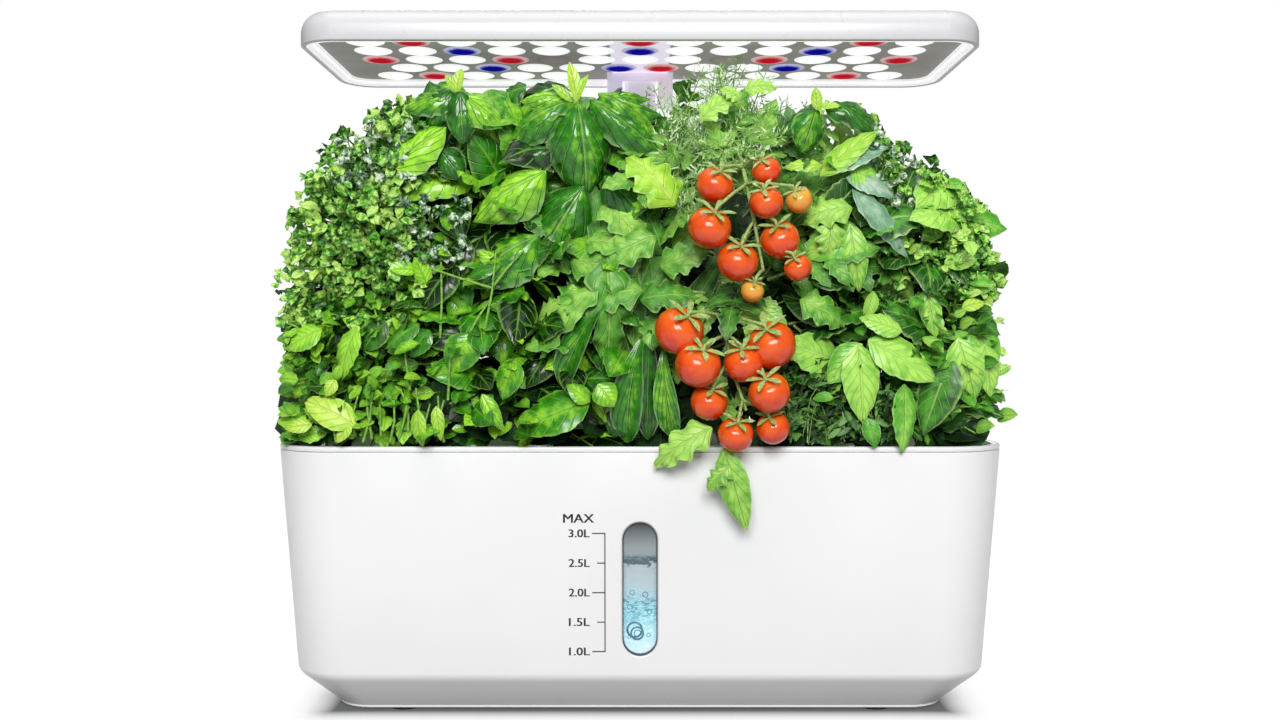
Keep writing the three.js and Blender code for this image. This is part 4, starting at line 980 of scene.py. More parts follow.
# %% Lenses
plate_low, plate_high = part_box("lens_plate")
LENS_RADIUS = 9.6 * MM
PLATE_UNDER = plate_low[2] + 0.8 * MM
LENS_PITCH_X = 22.6 * MM
LENS_PITCH_Y = 19.3 * MM
LENS_SIDES = 28
LENS_PROFILE = [(0.35, 0.03), (0.6, 0.12), (0.8, 0.3), (0.93, 0.55)]  # (share of the radius, rise in mm)
RED_PLACES = {0: [0, -5, 5], 1: [], 2: [-3, 3, -6, 6], 3: [0.5], 4: [-5, 5]}
BLUE_PLACES = {0: [], 1: [0, -4, 4], 2: [], 3: [-0.5, 3.5, -3.5], 4: []}
DIM_PLACES = {2: [-2, 2]}


def lens_kind(row, column):
    """The colour of the LED at a place in the grid."""
    if column in RED_PLACES.get(row, []):
        return "red"
    if column in BLUE_PLACES.get(row, []):
        return "blue"
    return "dim" if column in DIM_PLACES.get(row, []) else "white"


def lens_places():
    """The middles of the lenses by colour; one row is staggered, and one leaves room for the bracket."""
    places = {"white": [], "red": [], "blue": [], "dim": []}
    for row in range(5):
        columns = [c - 5.5 for c in range(12)] if row == 3 else list(range(-6, 7))
        for column in columns:
            if row == 4 and abs(column) < 1.3:
                continue
            places[lens_kind(row, column)].append((column * LENS_PITCH_X, (row - 2) * LENS_PITCH_Y))
    return places


def lens_glow(name, core, ring, halo, strength):
    """Moulded acrylic lens over a lit LED: a core of the LED's colour inside a halo that the lens spreads."""
    values = {"Roughness": 0.35, "Specular IOR Level": 0, "Emission Strength": strength}
    material, tree, shader = new_material(name, values)
    share = add(tree, "Attribute", attribute_name="radius_share").outputs["Fac"]
    blurred = add(tree, "Math", (share, uneven(tree, 2.5 * MM, -0.05, 0.05)), operation="ADD")
    stops = [(0, core), (0.5, core), (0.66, ring), (0.85, halo), (1, halo)]
    tone = add(tree, "ValToRGB", (blurred,), stops=stops)
    feed(tree, shader, Base_Color=tone, Emission_Color=tone)
    return material


LENS_LOOKS = {
    "white": lens_glow("acrylic_lens_white_led", "#ffffff", "#fefdff", "#f3f1f6", 0.9),
    "red": lens_glow("acrylic_lens_red_led", "#d51c30", "#e25a68", "#f3c3c9", 0.55),
    "blue": lens_glow("acrylic_lens_blue_led", "#1010a0", "#4040c0", "#cfccf4", 0.55),
    "dim": lens_glow("acrylic_lens_resting_led", "#c9b6ba", "#bfb0b4", "#b4a9ac", 0.25),
}


LENS_RINGS = [(share, plate_low[2] + rise * MM) for share, rise in LENS_PROFILE] + [(1, PLATE_UNDER)]
LENS_SHARES = [0] + [share for share, z in LENS_RINGS for side in range(LENS_SIDES)]


def dome(x, y):
    """One lens: a shallow dome that hangs under the sheet."""
    points = [(x, y, plate_low[2])]
    for share, z in LENS_RINGS:
        reach = share * LENS_RADIUS
        for angle in turns(LENS_SIDES):
            points.append((x + reach * math.cos(angle), y + reach * math.sin(angle), z))
    tip = [(0, 1 + (i + 1) % LENS_SIDES, 1 + i) for i in range(LENS_SIDES)]
    bands = [tuple(corner + 1 for corner in face) for face in skin(len(LENS_RINGS), LENS_SIDES)]
    return points, tip + bands


lens_total = 0
for kind, places in lens_places().items():
    domes = joined(dome(*place) for place in places)
    lens = piece(f"led_lenses_{kind}", *domes, LENS_LOOKS[kind], "lamp", "lens",
                 replaced=["lens_plate"] if kind == "white" else ())
    attribute = lens.data.attributes.new("radius_share", "FLOAT", "POINT")
    attribute.data.foreach_set("value", LENS_SHARES * len(places))
    lens_total += len(places)
sheet_inset = BEZEL_INSET + BEZEL_HEAD + 0.2 * MM
sheet = piece("lens_plate_sheet", *loft([lamp_ring(sheet_inset, z) for z in (PLATE_UNDER, plate_high[2])]),
              lit_sheet(), "lamp", "lens")
notch_wide = bracket_high[0] - bracket_low[0] + 2 * PART_GAP
cut_out(sheet, [block(notch_wide, far - near, PLATE_UNDER - PAST, plate_high[2] + PAST, recess_mid)])
print(lens_total, "lenses")

# %% [markdown]
# The pieces whose imported shape is already right keep it: post, bracket, pump, flap, feet and boards. They
# only need a real finish and slightly broken edges, so each gets its material and most a small bevel. A
# moulded edge is never sharp, and the bevel is what catches the light along it.

# %% Carried-over pieces
def finish_node(name, material, bevel):
    """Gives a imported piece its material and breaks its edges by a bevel's width."""
    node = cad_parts[name]
    node.data.materials.clear()
    node.data.materials.append(material)
    if bevel:
        soft = node.modifiers.new("broken_edge", "BEVEL")
        soft.width = bevel
        soft.segments = 2
        soft.limit_method = "ANGLE"
        soft.angle_limit = math.radians(40)
        soft.harden_normals = True


KEPT_LOOKS = {
    "refill_flap": (white_abs, 0.4 * MM), "flap_hinge_pin": (turned_steel(), 0),
    "pump_housing": (black_abs, 0.5 * MM), "pump_impeller": (impeller_pom, 0.2 * MM),
    "pump_strainer": (black_abs, 0), "pump_riser": (riser_pvc, 0),
    "post_base": (white_abs, 0.6 * MM), "power_inlet": (black_abs, 0.1 * MM),
    "lower_post": (post_paint, 0.1 * MM), "post_grip_collar": (white_abs, 0.5 * MM),
    "upper_post": (post_lit, 0.1 * MM), "lamp_bracket": (bracket_lit, 0.6 * MM),
    "led_board": (lamp_board, 0), "control_board": (green_board, 0.2 * MM),
    "light_button": (button_abs, 0.2 * MM), "timer_button": (button_abs, 0.2 * MM),
}
for corner in ("front_left", "front_right", "back_right", "back_left"):
    KEPT_LOOKS[f"foot_{corner}"] = (foot_rubber, 0.3 * MM)
for name, (material, bevel) in KEPT_LOOKS.items():
    finish_node(name, material, bevel)
print(len(KEPT_LOOKS), "packed pieces keep their shape")

# %% [markdown]
# Living plants are the largest thing in the picture. Each leaf is one thin curved sheet: a grid of points
# whose outline, fold, arch, puckers and wavy edge come from a few numbers per kind. A real leaf is about
# 0.3 mm thick, so a single sheet looks right and stays light. Each point keeps its place on the leaf
# (along, across) and the leaf's tone as one vector attribute, from which the leaf materials draw veins and
# shade.

# %% Leaf sheets
PROFILES = {
    "ovate": [(0, 0.05), (0.06, 0.4), (0.16, 0.78), (0.3, 0.98), (0.42, 1), (0.6, 0.88), (0.78, 0.6),
              (0.92, 0.25), (1, 0)],
    "broad": [(0, 0.25), (0.05, 0.62), (0.15, 0.9), (0.3, 1), (0.5, 0.97), (0.7, 0.78), (0.86, 0.48),
              (0.96, 0.16), (1, 0)],
    "strap": [(0, 0.15), (0.15, 0.4), (0.4, 0.85), (0.6, 1), (0.8, 0.85), (0.93, 0.42), (1, 0)],
    "fan": [(0, 0.06), (0.25, 0.3), (0.5, 0.8), (0.7, 1), (0.86, 0.85), (0.96, 0.45), (1, 0.2)],
    "lobed": [(0, 0.08), (0.1, 0.5), (0.17, 0.88), (0.23, 0.94), (0.3, 0.66), (0.35, 0.58), (0.42, 0.86),
              (0.48, 0.98), (0.56, 0.68), (0.62, 0.52), (0.7, 0.68), (0.77, 0.6), (0.86, 0.34), (0.94, 0.18),
              (1, 0)],
    "oval": [(0, 0.1), (0.12, 0.6), (0.3, 0.95), (0.5, 1), (0.75, 0.8), (0.92, 0.4), (1, 0.05)],
}
PUCKERS = 6
PLAIN_TONE = 0.5


class LeafKind:
    """How one kind of leaf is shaped; lengths are shares of the leaf's own length or half width."""

    def __init__(self, outline, wide, along=11, across=7, fold=0.12, arch=0.7, cup=0.0, quilt=0.0, ruffle=0.0,
                 waves=5, teeth=0.0, tooth_count=9, slant=0.3):
        self.outline, self.wide, self.along, self.across = PROFILES[outline], wide, along, across
        self.fold, self.arch, self.cup, self.quilt = fold, arch, cup, quilt
        self.ruffle, self.waves, self.teeth, self.tooth_count = ruffle, waves, teeth, tooth_count
        self.slant = slant


def sheet_of(kind, length, rng):
    """Points of one leaf from its stalk end at the origin along +Y, upper side +Z, and their places on it."""
    u = np.linspace(0, 1, kind.along)[:, None]
    v = np.linspace(-1, 1, kind.across)[None, :]
    half = length * kind.wide / 2 * np.interp(u[:, 0], *zip(*kind.outline))[:, None]
    if kind.teeth:
        tooth = (u * kind.tooth_count) % 1
        half = half * (1 + kind.teeth * (tooth - 0.5) * (np.abs(v) > 0.95))
    x = half * v
    reach = np.abs(v) + 0 * u
    height = kind.fold * np.abs(x) - kind.cup * half * reach ** 2
    ridges = np.abs(np.sin(math.pi * PUCKERS * (u - kind.slant * reach)))
    pucker = ridges * (1 - reach ** 3) * np.sin(math.pi * u)
    height = height + kind.quilt * length * pucker * (reach > 0.1)
    phase = rng.uniform(0, 2 * math.pi, 2)
    wave = np.sin(2 * math.pi * kind.waves * u + np.where(v < 0, phase[0], phase[1]))
    height = height + kind.ruffle * length * reach ** 2 * wave * np.minimum(1, 4 * u)
    arch = kind.arch * rng.uniform(0.5, 1.4)
    turn = arch * (u - 0.25)
    step = length / (kind.along - 1)
    centre_y = np.cumsum(np.cos(turn), axis=0) * step - step
    centre_z = -np.cumsum(np.sin(turn), axis=0) * step
    points = np.stack([x, centre_y + height * np.sin(turn), centre_z + height * np.cos(turn)], axis=-1)
    return points.reshape(-1, 3), np.stack([u + 0 * v, v + 0 * u], axis=-1).reshape(-1, 2)


def grid_faces(along, across):
    """Quads of a grid of points."""
    rows, columns = np.meshgrid(np.arange(along - 1), np.arange(across - 1), indexing="ij")
    first = (rows * across + columns).reshape(-1)
    return np.stack([first, first + 1, first + across + 1, first + across], axis=-1)


def unit(vector):
    vector = np.asarray(vector, float)
    return vector / max(np.linalg.norm(vector), 1e-9)


class Growth:
    """Collects the leaves and stalks of one plant until they become one mesh."""

    def __init__(self, seed):
        self.rng = np.random.default_rng(seed)
        self.points, self.faces, self.values, self.finishes, self.count = [], [], [], [], 0

    def take(self, points, faces, values, finish):
        self.points.append(points)
        self.values.append(values)
        self.faces += [tuple(int(i) + self.count for i in face) for face in faces]
        self.finishes += [finish] * len(faces)
        self.count += len(points)

    def leaf(self, kind, base, along, facing, length, tone, finish=0):
        """One leaf from its base along a direction, its upper side towards another."""
        points, place = sheet_of(kind, length, self.rng)
        axis_y = unit(along)
        axis_x = unit(np.cross(axis_y, facing))
        axis_z = np.cross(axis_x, axis_y)
        world = keep_inside(points @ np.stack([axis_x, axis_y, axis_z]) + np.asarray(base))
        if blocked(world):
            return
        values = np.concatenate([place, np.full((len(place), 1), tone)], axis=1)
        self.take(world, grid_faces(kind.along, kind.across), values, finish)

    def stalk(self, path, radius_low, radius_high, finish=1, sides=5):
        """A tapered tube along a path."""
        path = keep_inside(np.asarray(path, float))
        if blocked(path):
            return
        count = len(path)
        rings = []
        for i, middle in enumerate(path):
            ahead = unit(path[min(i + 1, count - 1)] - path[max(i - 1, 0)])
            side = unit(np.cross(ahead, (0.3, 1, 0.2)))
            up = np.cross(side, ahead)
            radius = radius_low + (radius_high - radius_low) * i / (count - 1)
            angle = np.arange(sides) * 2 * math.pi / sides
            rings.append(middle + radius * (np.cos(angle)[:, None] * side + np.sin(angle)[:, None] * up))
        along = np.repeat(np.linspace(0, 1, count), sides)[:, None]
        values = np.concatenate([along, 0 * along, 0 * along + PLAIN_TONE], axis=1)
        self.take(np.concatenate(rings), skin(count, sides), values, finish)

    def make(self, name, materials, replaced):
        """The whole plant as one piece; smooth all over, since a leaf has no sharp edges to mark."""
        made = piece(name, np.concatenate(self.points), self.faces, materials, "deck", "foliage",
                     smooth=False, replaced=replaced)
        mesh = made.data
        shade_smooth(mesh)
        mesh.polygons.foreach_set("material_index", self.finishes)
        attribute = mesh.attributes.new("leaf", "FLOAT_VECTOR", "POINT")
        attribute.data.foreach_set("vector", np.concatenate(self.values).astype(np.float32).ravel())
        print(name, len(mesh.polygons), "faces")


LEAF_SIDE = cad_box[1][0] - 0.4 * MM
LEAF_FRONT = cad_box[0][1] + 1 * MM
LEAF_BACK = cad_box[1][1] - 0.2 * MM
LEAF_TOP = plate_low[2] - 4 * MM
TOP_SQUEEZE = 0.1
POST_SIDE, POST_FRONT, POST_BACK = 16 * MM, 27 * MM, 52 * MM
FLAP_INNER, FLAP_SIDE, FLAP_HIGH = -146 * MM, 20 * MM, 152 * MM
WALL_FRONT, WALL_BACK, FLOOR_ROOM = -TANK_DEEP / 2 - 1 * MM, 56 * MM, DECK_FLOOR + 1 * MM
LIP_MIDDLE, LIP_SIDE, LIP_TOP = 2 * MM, 3.5 * MM, DECK_TOP + 0.5 * MM


def keep_inside(points):
    """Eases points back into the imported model's box and under the lenses."""
    points = np.array(points)
    points[:, 0] = np.clip(points[:, 0], -LEAF_SIDE, LEAF_SIDE)
    points[:, 1] = np.clip(points[:, 1], LEAF_FRONT, LEAF_BACK)
    over = points[:, 2] - LEAF_TOP
    points[:, 2] = np.where(points[:, 2] > LEAF_TOP, LEAF_TOP + over * TOP_SQUEEZE, points[:, 2])
    return points


def blocked(points):
    """True where a sheet would cut through the post, the refill flap's swing, the deck's floor or its lip."""
    x, y, z = points[:, 0], points[:, 1], points[:, 2]
    post = (np.abs(x) < POST_SIDE) & (y > POST_FRONT) & (y < POST_BACK)
    flap = (x < FLAP_INNER) & (np.abs(y) < FLAP_SIDE) & (z < FLAP_HIGH)
    floor = (y > WALL_FRONT) & (y < WALL_BACK) & (z < FLOOR_ROOM)
    lip = (z < LIP_TOP) & (np.abs(y + TANK_DEEP / 2 - LIP_MIDDLE) < LIP_SIDE)
    return bool((post | flap | floor | lip).any())

# %% [markdown]
# Leaf colours change with age and light: young tips are lime, old leaves are deep green. Each leaf
# material mixes three greens by the leaf's tone, lightens its veins, mottles the blade, and raises puckers
# between the veins as bump. It paints light too: a pale rim along the edge is a painted highlight, and the
# blade is painted lighter along the midrib and darker towards its edges. Basil is glossy, and its ridged
# look has the deepest puckers. Mint and lemon balm are satin. Parsley's curls are partly drawn by a fine
# strong mottle, which paints their light and shade, and the same mottle in pale greys paints glints on the
# small tufts beside it. Sage is silvery, thyme dark.

# %% Leaf materials
def on_leaf(tree):
    """The leaf attribute as sockets: X along the leaf, Y across it, Z its tone."""
    place = add(tree, "Attribute", attribute_name="leaf").outputs["Vector"]
    return add(tree, "SeparateXYZ", (place,)).outputs


def leaf_look(name, dark, mid, light, vein, rough, vein_count=6, vein_show=0.45, pucker=0.8 * MM, slant=0.3,
              mottle_size=5 * MM, mottle_share=0.2):
    """Three greens by tone, and a vein colour; slant sets how far the side veins lean towards the tip."""
    material, tree, shader = new_material(name, {"IOR": 1.45, "Specular IOR Level": 0.6})
    place = on_leaf(tree)
    off_rib = add(tree, "Math", (place["Y"],), operation="ABSOLUTE")
    lean = add(tree, "Math", (off_rib, slant), operation="MULTIPLY")
    slanted = add(tree, "Math", (place["X"], lean), operation="SUBTRACT")
    turn = add(tree, "Math", (slanted, vein_count * 2 * math.pi), operation="MULTIPLY")
    wave = add(tree, "Math", (turn,), operation="SINE")
    side_vein = add(tree, "MapRange", (wave, 0.8, 1, 0, 1))
    faint_vein = add(tree, "Math", (side_vein, 0.6), operation="MULTIPLY")
    rib = add(tree, "MapRange", (off_rib, 0.02, 0.1, 1, 0))
    veins = add(tree, "Math", (rib, faint_vein), operation="MAXIMUM")
    mottle = uneven(tree, mottle_size, -mottle_share, mottle_share, 3)
    # painted light and shade: the blade is lighter along the midrib and darker towards its edges
    middle = add(tree, "MapRange", (off_rib, 0.1, 1, 0.12, -0.14))
    mottled = add(tree, "Math", (place["Z"], mottle), operation="ADD")
    level = add(tree, "Math", (mottled, middle), operation="ADD")
    to_mid = add(tree, "MapRange", (level, 0.05, 0.5, 0, 1))
    lower = add(tree, "Mix", {"Factor": to_mid, "A": dark, "B": mid}, data_type="RGBA")
    to_light = add(tree, "MapRange", (level, 0.5, 0.95, 0, 1))
    upper = add(tree, "Mix", {"Factor": to_light, "A": lower, "B": light}, data_type="RGBA")
    # painted highlight: a pale rim along the leaf's edge
    painted_rim_highlight = add(tree, "MapRange", (off_rib, 0.84, 0.97, 0, 0.45))
    shown = add(tree, "Math", (veins, vein_show), operation="MULTIPLY")
    drawn = add(tree, "Math", (shown, painted_rim_highlight), operation="MAXIMUM")
    tone = add(tree, "Mix", {"Factor": drawn, "A": upper, "B": vein}, data_type="RGBA")
    between = add(tree, "Math", (1.0, veins), operation="SUBTRACT")
    puckers = add(tree, "Bump", {"Height": between, "Distance": pucker, "Strength": 0.8})
    gloss = uneven(tree, 4 * MM, rough - 0.06, rough + 0.08)
    feed(tree, shader, Base_Color=tone, Roughness=gloss, Normal=puckers)
    return material


def stalk_look(name, low, high, rough=0.5):
    """Pale and darker fibres, as on a young stem."""
    material, tree, shader = new_material(name, {"IOR": 1.4})
    fibres = grain(tree, 1.5 * MM)
    share = add(tree, "MapRange", (fibres, 0.3, 0.7, 0, 1))
    tone = add(tree, "Mix", {"Factor": share, "A": low, "B": high}, data_type="RGBA")
    gloss = add(tree, "MapRange", (fibres, 0.3, 0.7, rough - 0.05, rough + 0.1))
    feed(tree, shader, Base_Color=tone, Roughness=gloss)
    return material


LOOKS = {
    "basil": leaf_look("basil_leaf", "#082a03", "#368e14", "#a8ea3a", "#98d850", 0.26),
    "mint": leaf_look("mint_leaf", "#133e08", "#4ba026", "#a6e640", "#a8e658", 0.4, 7),
    "lime": leaf_look("young_lime_leaf", "#5fa822", "#9fd836", "#d0f060", "#d5f288", 0.4, 5),
    # painted light and shade: parsley's strong fine mottle draws the bright and dark of its curls
    "parsley": leaf_look("parsley_leaf", "#093204", "#4eb028", "#cef67c", "#b8ea7c", 0.42, 4, 0.2, 0.5 * MM,
                         mottle_size=2.2 * MM, mottle_share=0.6),
    "ridged": leaf_look("ridged_basil_leaf", "#072803", "#2f8812", "#a6ec38", "#b8e498", 0.2, 4, 0.3,
                        2.4 * MM, slant=0.75),
    # painted highlight: pale small leaves whose strong mottle paints glints
    "painted_glint": leaf_look("pale_leaf_painted_glint", "#0c3416", "#639a66", "#dfeed2", "#d8e8cc", 0.4, 2, 0.1,
                       0.3 * MM, mottle_size=2 * MM, mottle_share=0.8),
    # painted shade: a near-black copy for the inner leaves
    "shaded": leaf_look("inner_leaf_in_shade", "#071c05", "#133a0c", "#2f6a1e", "#2f6a1e", 0.5, 6, 0.3),
    "tomato": leaf_look("tomato_leaf", "#1b4c0c", "#54a22c", "#b0e462", "#b8e482", 0.45, 6),
    "dill": leaf_look("dill_frond", "#44803a", "#82bd62", "#cde8a6", "#cde8a6", 0.5, 1, 0.0, 0.1 * MM),
    "balm": leaf_look("lemon_balm_leaf", "#17520a", "#58b22c", "#b6ee64", "#c0ec84", 0.34, 7),
    "sage": leaf_look("silvery_sage_leaf", "#3c7848", "#82b48c", "#dcecdc", "#d2e8cc", 0.4, 6),
    "thyme": leaf_look("thyme_leaf", "#142f10", "#2f5c24", "#6c9c4c", "#6c9c4c", 0.5, 1, 0.0, 0.1 * MM),
}
stem_green = stalk_look("green_herb_stalk", "#5f9636", "#9ccb5c")
stem_pale = stalk_look("pale_truss_stalk", "#7c9c44", "#bdd088")

# %% [markdown]
# Leaves are scattered over each plant's share of the space with an even spread: every new leaf takes the
# emptiest of several tries. The seeds are fixed, so each run grows the same garden. A leaf faces the
# light, outward and up, with some chance, and hangs from a stalk that joins one of the plant's main stems.
# Inner leaves get a near-black copy of the leaf material, painted shade which gives a dense plant its
# depth. A layer is (kind, low corner, high corner, count, sizes, tones), and after them, where they matter,
# the finish, the leaves in a bunch and how far they stray.

# %% Growing
FRONT, BACK, UP = np.array([0, -1, 0]), np.array([0, 1, 0]), np.array([0, 0, 1])
TOP_LINE = [(-180, 150), (-176, 214), (-169, 248), (-164, 264), (-151, 280), (-141, 290), (-117, 303),
            (-92, 313), (-71, 308), (-33, 309), (5, 304), (20, 307), (30.5, 315), (51, 319), (71, 308),
            (90, 308), (111, 300), (117, 286), (138, 276), (150, 267), (167, 249), (172, 232), (177, 150)]
SIDE_LINE = 171
OWN, STALK, SHADED, LIME, RIDGED, PAINTED_GLINT, THYME, SAGE = range(8)
SHARED_LOOKS = ("shaded", "lime", "ridged", "painted_glint", "thyme", "sage")
FRONT_DEPTH = -50 * MM
BACK_FROM = 12 * MM
TOWARDS_SIDE, TOWARDS_LIGHT, OUTWARD, DROOP = 0.75, 0.6, 0.35, 0.15


def depth_at(y):
    """How far off a depth is for the camera, as a share of the distance to 50 mm in front of the middle."""
    return (y - EYE.y) / (FRONT_DEPTH - EYE.y)


def top_at(spot):
    """The canopy's top at a spot: the line that the camera sees, carried to the spot's depth."""
    depth = depth_at(spot[1])
    line = np.interp(spot[0] / depth / MM, *zip(*TOP_LINE)) * MM
    return EYE.z + (line - EYE.z) * depth


def even_spots(rng, low, high, count, tries=8):
    """Spots in a box of millimetres, each the emptiest of several tries, kept under the canopy's top line."""
    low, high = np.array(low) * MM, np.array(high) * MM
    spots = []
    while len(spots) < count:
        offers = rng.uniform(low, high, (tries, 3))
        if spots:
            gaps = np.linalg.norm((offers[:, None] - np.array(spots)[None]) * (1, 0.6, 1), axis=2).min(axis=1)
            offers = offers[np.argsort(-gaps)]
        spots.append(offers[0])
    return [s for s in spots if s[2] < top_at(s) - 3 * MM and abs(s[0]) < SIDE_LINE * MM * depth_at(s[1])]


def stem_curve(basket, top, bow=0.25, steps=9):
    """A main stem from its basket to a top point: it rises first, then leans out."""
    foot = np.array([*BASKETS[basket], BASKET_TOP_Z - 2 * MM])
    top = np.array(top) * MM
    knee = foot + (top - foot) * (bow, bow, 0.55)
    return bend(foot, knee, top, np.linspace(0, 1, steps)[:, None])


def hang(growth, stems, kind, spot, length, tone, stray, finish, stalk):
    """Grows one leaf whose middle is near the spot, and its stalk from the nearest main stem."""
    rng = growth.rng
    stem_points = np.concatenate(stems)
    above_spot = np.maximum(0, stem_points[:, 2] - spot[2])
    weights = np.linalg.norm((stem_points - spot) * (1, 1, 0.6), axis=1) + above_spot
    root = stem_points[np.argmin(weights)]
    outward = unit((spot - root) * (1, 1, 0.35) + rng.normal(0, 0.25, 3) * 20 * MM)
    side = FRONT if spot[1] < BACK_FROM else BACK
    facing = unit(side * TOWARDS_SIDE + UP * TOWARDS_LIGHT + outward * OUTWARD + rng.normal(0, stray / 2, 3))
    along = unit(outward + rng.normal(0, 0.45, 3) - facing * DROOP)
    base = spot - along * length * 0.5
    base[2] -= max(0, max(base[2], base[2] + along[2] * length) - top_at(spot))
    growth.leaf(kind, base, along, facing, length, tone, finish)
    if stalk:
        middle = (root + base) / 2 + (0, 0, 4 * MM)
        growth.stalk([root, middle, base + along * 0.5 * MM], 0.7 * MM, 0.45 * MM, sides=3)


def clothe(growth, stems, kind, low, high, count, sizes, tones, finish=OWN, bunch=1, stray=0.55):
    """Covers a box of space, given in millimetres, with leaves of one kind, singly or in small bunches."""
    rng = growth.rng
    for spot in even_spots(rng, low, high, count):
        tone = rng.uniform(*tones)
        for turn in range(bunch):
            near_spot = spot + rng.normal(0, sizes[0] * 0.45, 3) * MM * (bunch > 1)
            shade = tone + rng.normal(0, 0.07)
            hang(growth, stems, kind, near_spot, rng.uniform(*sizes) * MM, shade, stray, finish, turn == 0)


def main_stems(growth, basket, tops, radius):
    """Stems from a basket to each top; their lowest points carry no leaves, so they aren't returned."""
    stems = []
    for top in tops:
        path = stem_curve(basket, top)
        growth.stalk(path, radius, radius * 0.5, sides=6)
        stems.append(path[2:])
    return stems


def grow(title, node, basket, seed, look, tops, layers, radius=1.5 * MM):
    """A plant: its main stems, then its layers of leaves from the front to the back."""
    growth = Growth(seed)
    stems = main_stems(growth, basket, tops, radius)
    for kind, low, high, count, sizes, tones, *rest in layers:
        clothe(growth, stems, kind, low, high, count, sizes, tones, *rest)
    growth.looks = [LOOKS[look], stem_green, *(LOOKS[name] for name in SHARED_LOOKS)]
    growth.stems, growth.name, growth.node = stems, title, node
    return growth

# %% [markdown]
# Basil has smooth glossy leaves that arch and cup; the tall one's upper leaves are puckered. Mint and
# lemon balm have toothed, quilted leaves. Slim thyme and thin stalks show under the lemon balm. Each plant
# below is one piece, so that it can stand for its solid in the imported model.

# %% Basil, mint and lemon balm
BASIL = LeafKind("ovate", 0.64, 13, 9, fold=0.25, arch=1.0, cup=0.45, quilt=0.025, ruffle=0.02)
BASIL_PUCKERED = LeafKind("broad", 0.8, 15, 9, fold=0.1, arch=1.2, cup=0.5, quilt=0.06, ruffle=0.05, waves=4)
MINT = LeafKind("ovate", 0.7, 9, 7, fold=0.3, arch=0.8, cup=0.2, quilt=0.04, ruffle=0.02, teeth=0.3,
                tooth_count=4)
BALM = LeafKind("ovate", 0.66, 12, 7, fold=0.2, arch=1.0, cup=0.3, quilt=0.03, ruffle=0.03, teeth=0.1,
                tooth_count=6)
SMALL = LeafKind("oval", 0.62, 6, 5, fold=0.3, arch=0.5)
INNER = LeafKind("ovate", 0.8, 6, 5, fold=0.2, arch=0.7)
SLIM = LeafKind("oval", 0.34, 4, 3, fold=0.3, arch=0.6)

tall = grow("basil_tall_leaves", "basil_tall_plant", 6, 11, "basil",
            [(-75, -5, 300), (-95, 5, 285), (-58, -12, 280), (-70, 30, 290), (-45, 20, 270)], [
    (BASIL_PUCKERED, (-112, -47, 262), (-62, -22, 318), 26, (20, 30), (0.2, 0.9)),
    (BASIL, (-100, -50, 205), (-40, -24, 290), 26, (30, 46), (-0.2, 0.9)),
    (SMALL, (-112, -50, 205), (-45, -34, 318), 36, (8, 15), (0.3, 0.9), OWN, 2),
    (INNER, (-106, -20, 205), (-42, 14, 290), 50, (30, 40), (0.0, 0.6), SHADED),
    (BASIL, (-112, 22, 205), (-42, 54, 315), 34, (28, 44), (0.2, 0.8)),
    (BASIL, (-112, 16, 140), (-42, 52, 215), 24, (24, 38), (0.0, 0.7)),
])
broad = grow("basil_broad_leaves", "basil_broad_plant", 7, 12, "basil",
             [(-30, -14, 300), (-10, -5, 300), (-50, 0, 290), (-28, 24, 305)], [
    (BASIL, (-74, -50, 225), (10, -26, 314), 30, (32, 50), (-0.2, 0.9)),
    (SMALL, (-70, -50, 225), (12, -34, 312), 26, (8, 15), (0.3, 0.9), OWN, 2),
    (INNER, (-60, -20, 205), (-4, 22, 284), 50, (30, 44), (0.0, 0.6), SHADED),
    (BASIL, (-56, 26, 210), (-18, 52, 310), 16, (30, 44), (0.3, 0.8)),
    (BASIL, (-44, 16, 140), (-16, 50, 215), 14, (24, 38), (0.0, 0.7)),
])
bush = grow("basil_bush_leaves", "basil_bush_plant", 1, 13, "basil",
            [(-62, -28, 215), (-85, -30, 205), (-35, -30, 205), (-10, -30, 190)], [
    (BASIL, (-114, -58, 136), (-4, -42, 226), 46, (20, 34), (-0.2, 0.9)),
    (SMALL, (-114, -60, 136), (-50, -40, 222), 60, (8, 16), (0.2, 1.0), OWN, 2),
    (INNER, (-114, -34, 138), (-6, -4, 225), 60, (26, 38), (0.0, 0.6), SHADED),
    (INNER, (-114, -52, 133), (-6, -42, 160), 40, (16, 26), (0.0, 0.6), SHADED),
])
mint = grow("mint_leaves", "mint_plant", 0, 14, "mint",
            [(-135, -30, 190), (-155, -32, 185), (-118, -30, 190), (-165, 25, 180)], [
    (MINT, (-182, -56, 136), (-106, -40, 206), 100, (9, 17), (0.0, 1.1)),
    (SMALL, (-184, -60, 136), (-106, -42, 206), 130, (4, 9), (0.1, 1.1), OWN, 4),
    (INNER, (-176, -50, 133), (-106, -38, 160), 30, (14, 22), (0.0, 0.6), SHADED),
    (INNER, (-174, -36, 138), (-110, 16, 200), 50, (20, 30), (0.0, 0.6), SHADED),
    (MINT, (-180, 22, 136), (-108, 54, 205), 70, (12, 22), (0.0, 1.0)),
    (MINT, (-184, -50, 136), (-166, 50, 205), 50, (10, 20), (0.0, 1.0)),
])
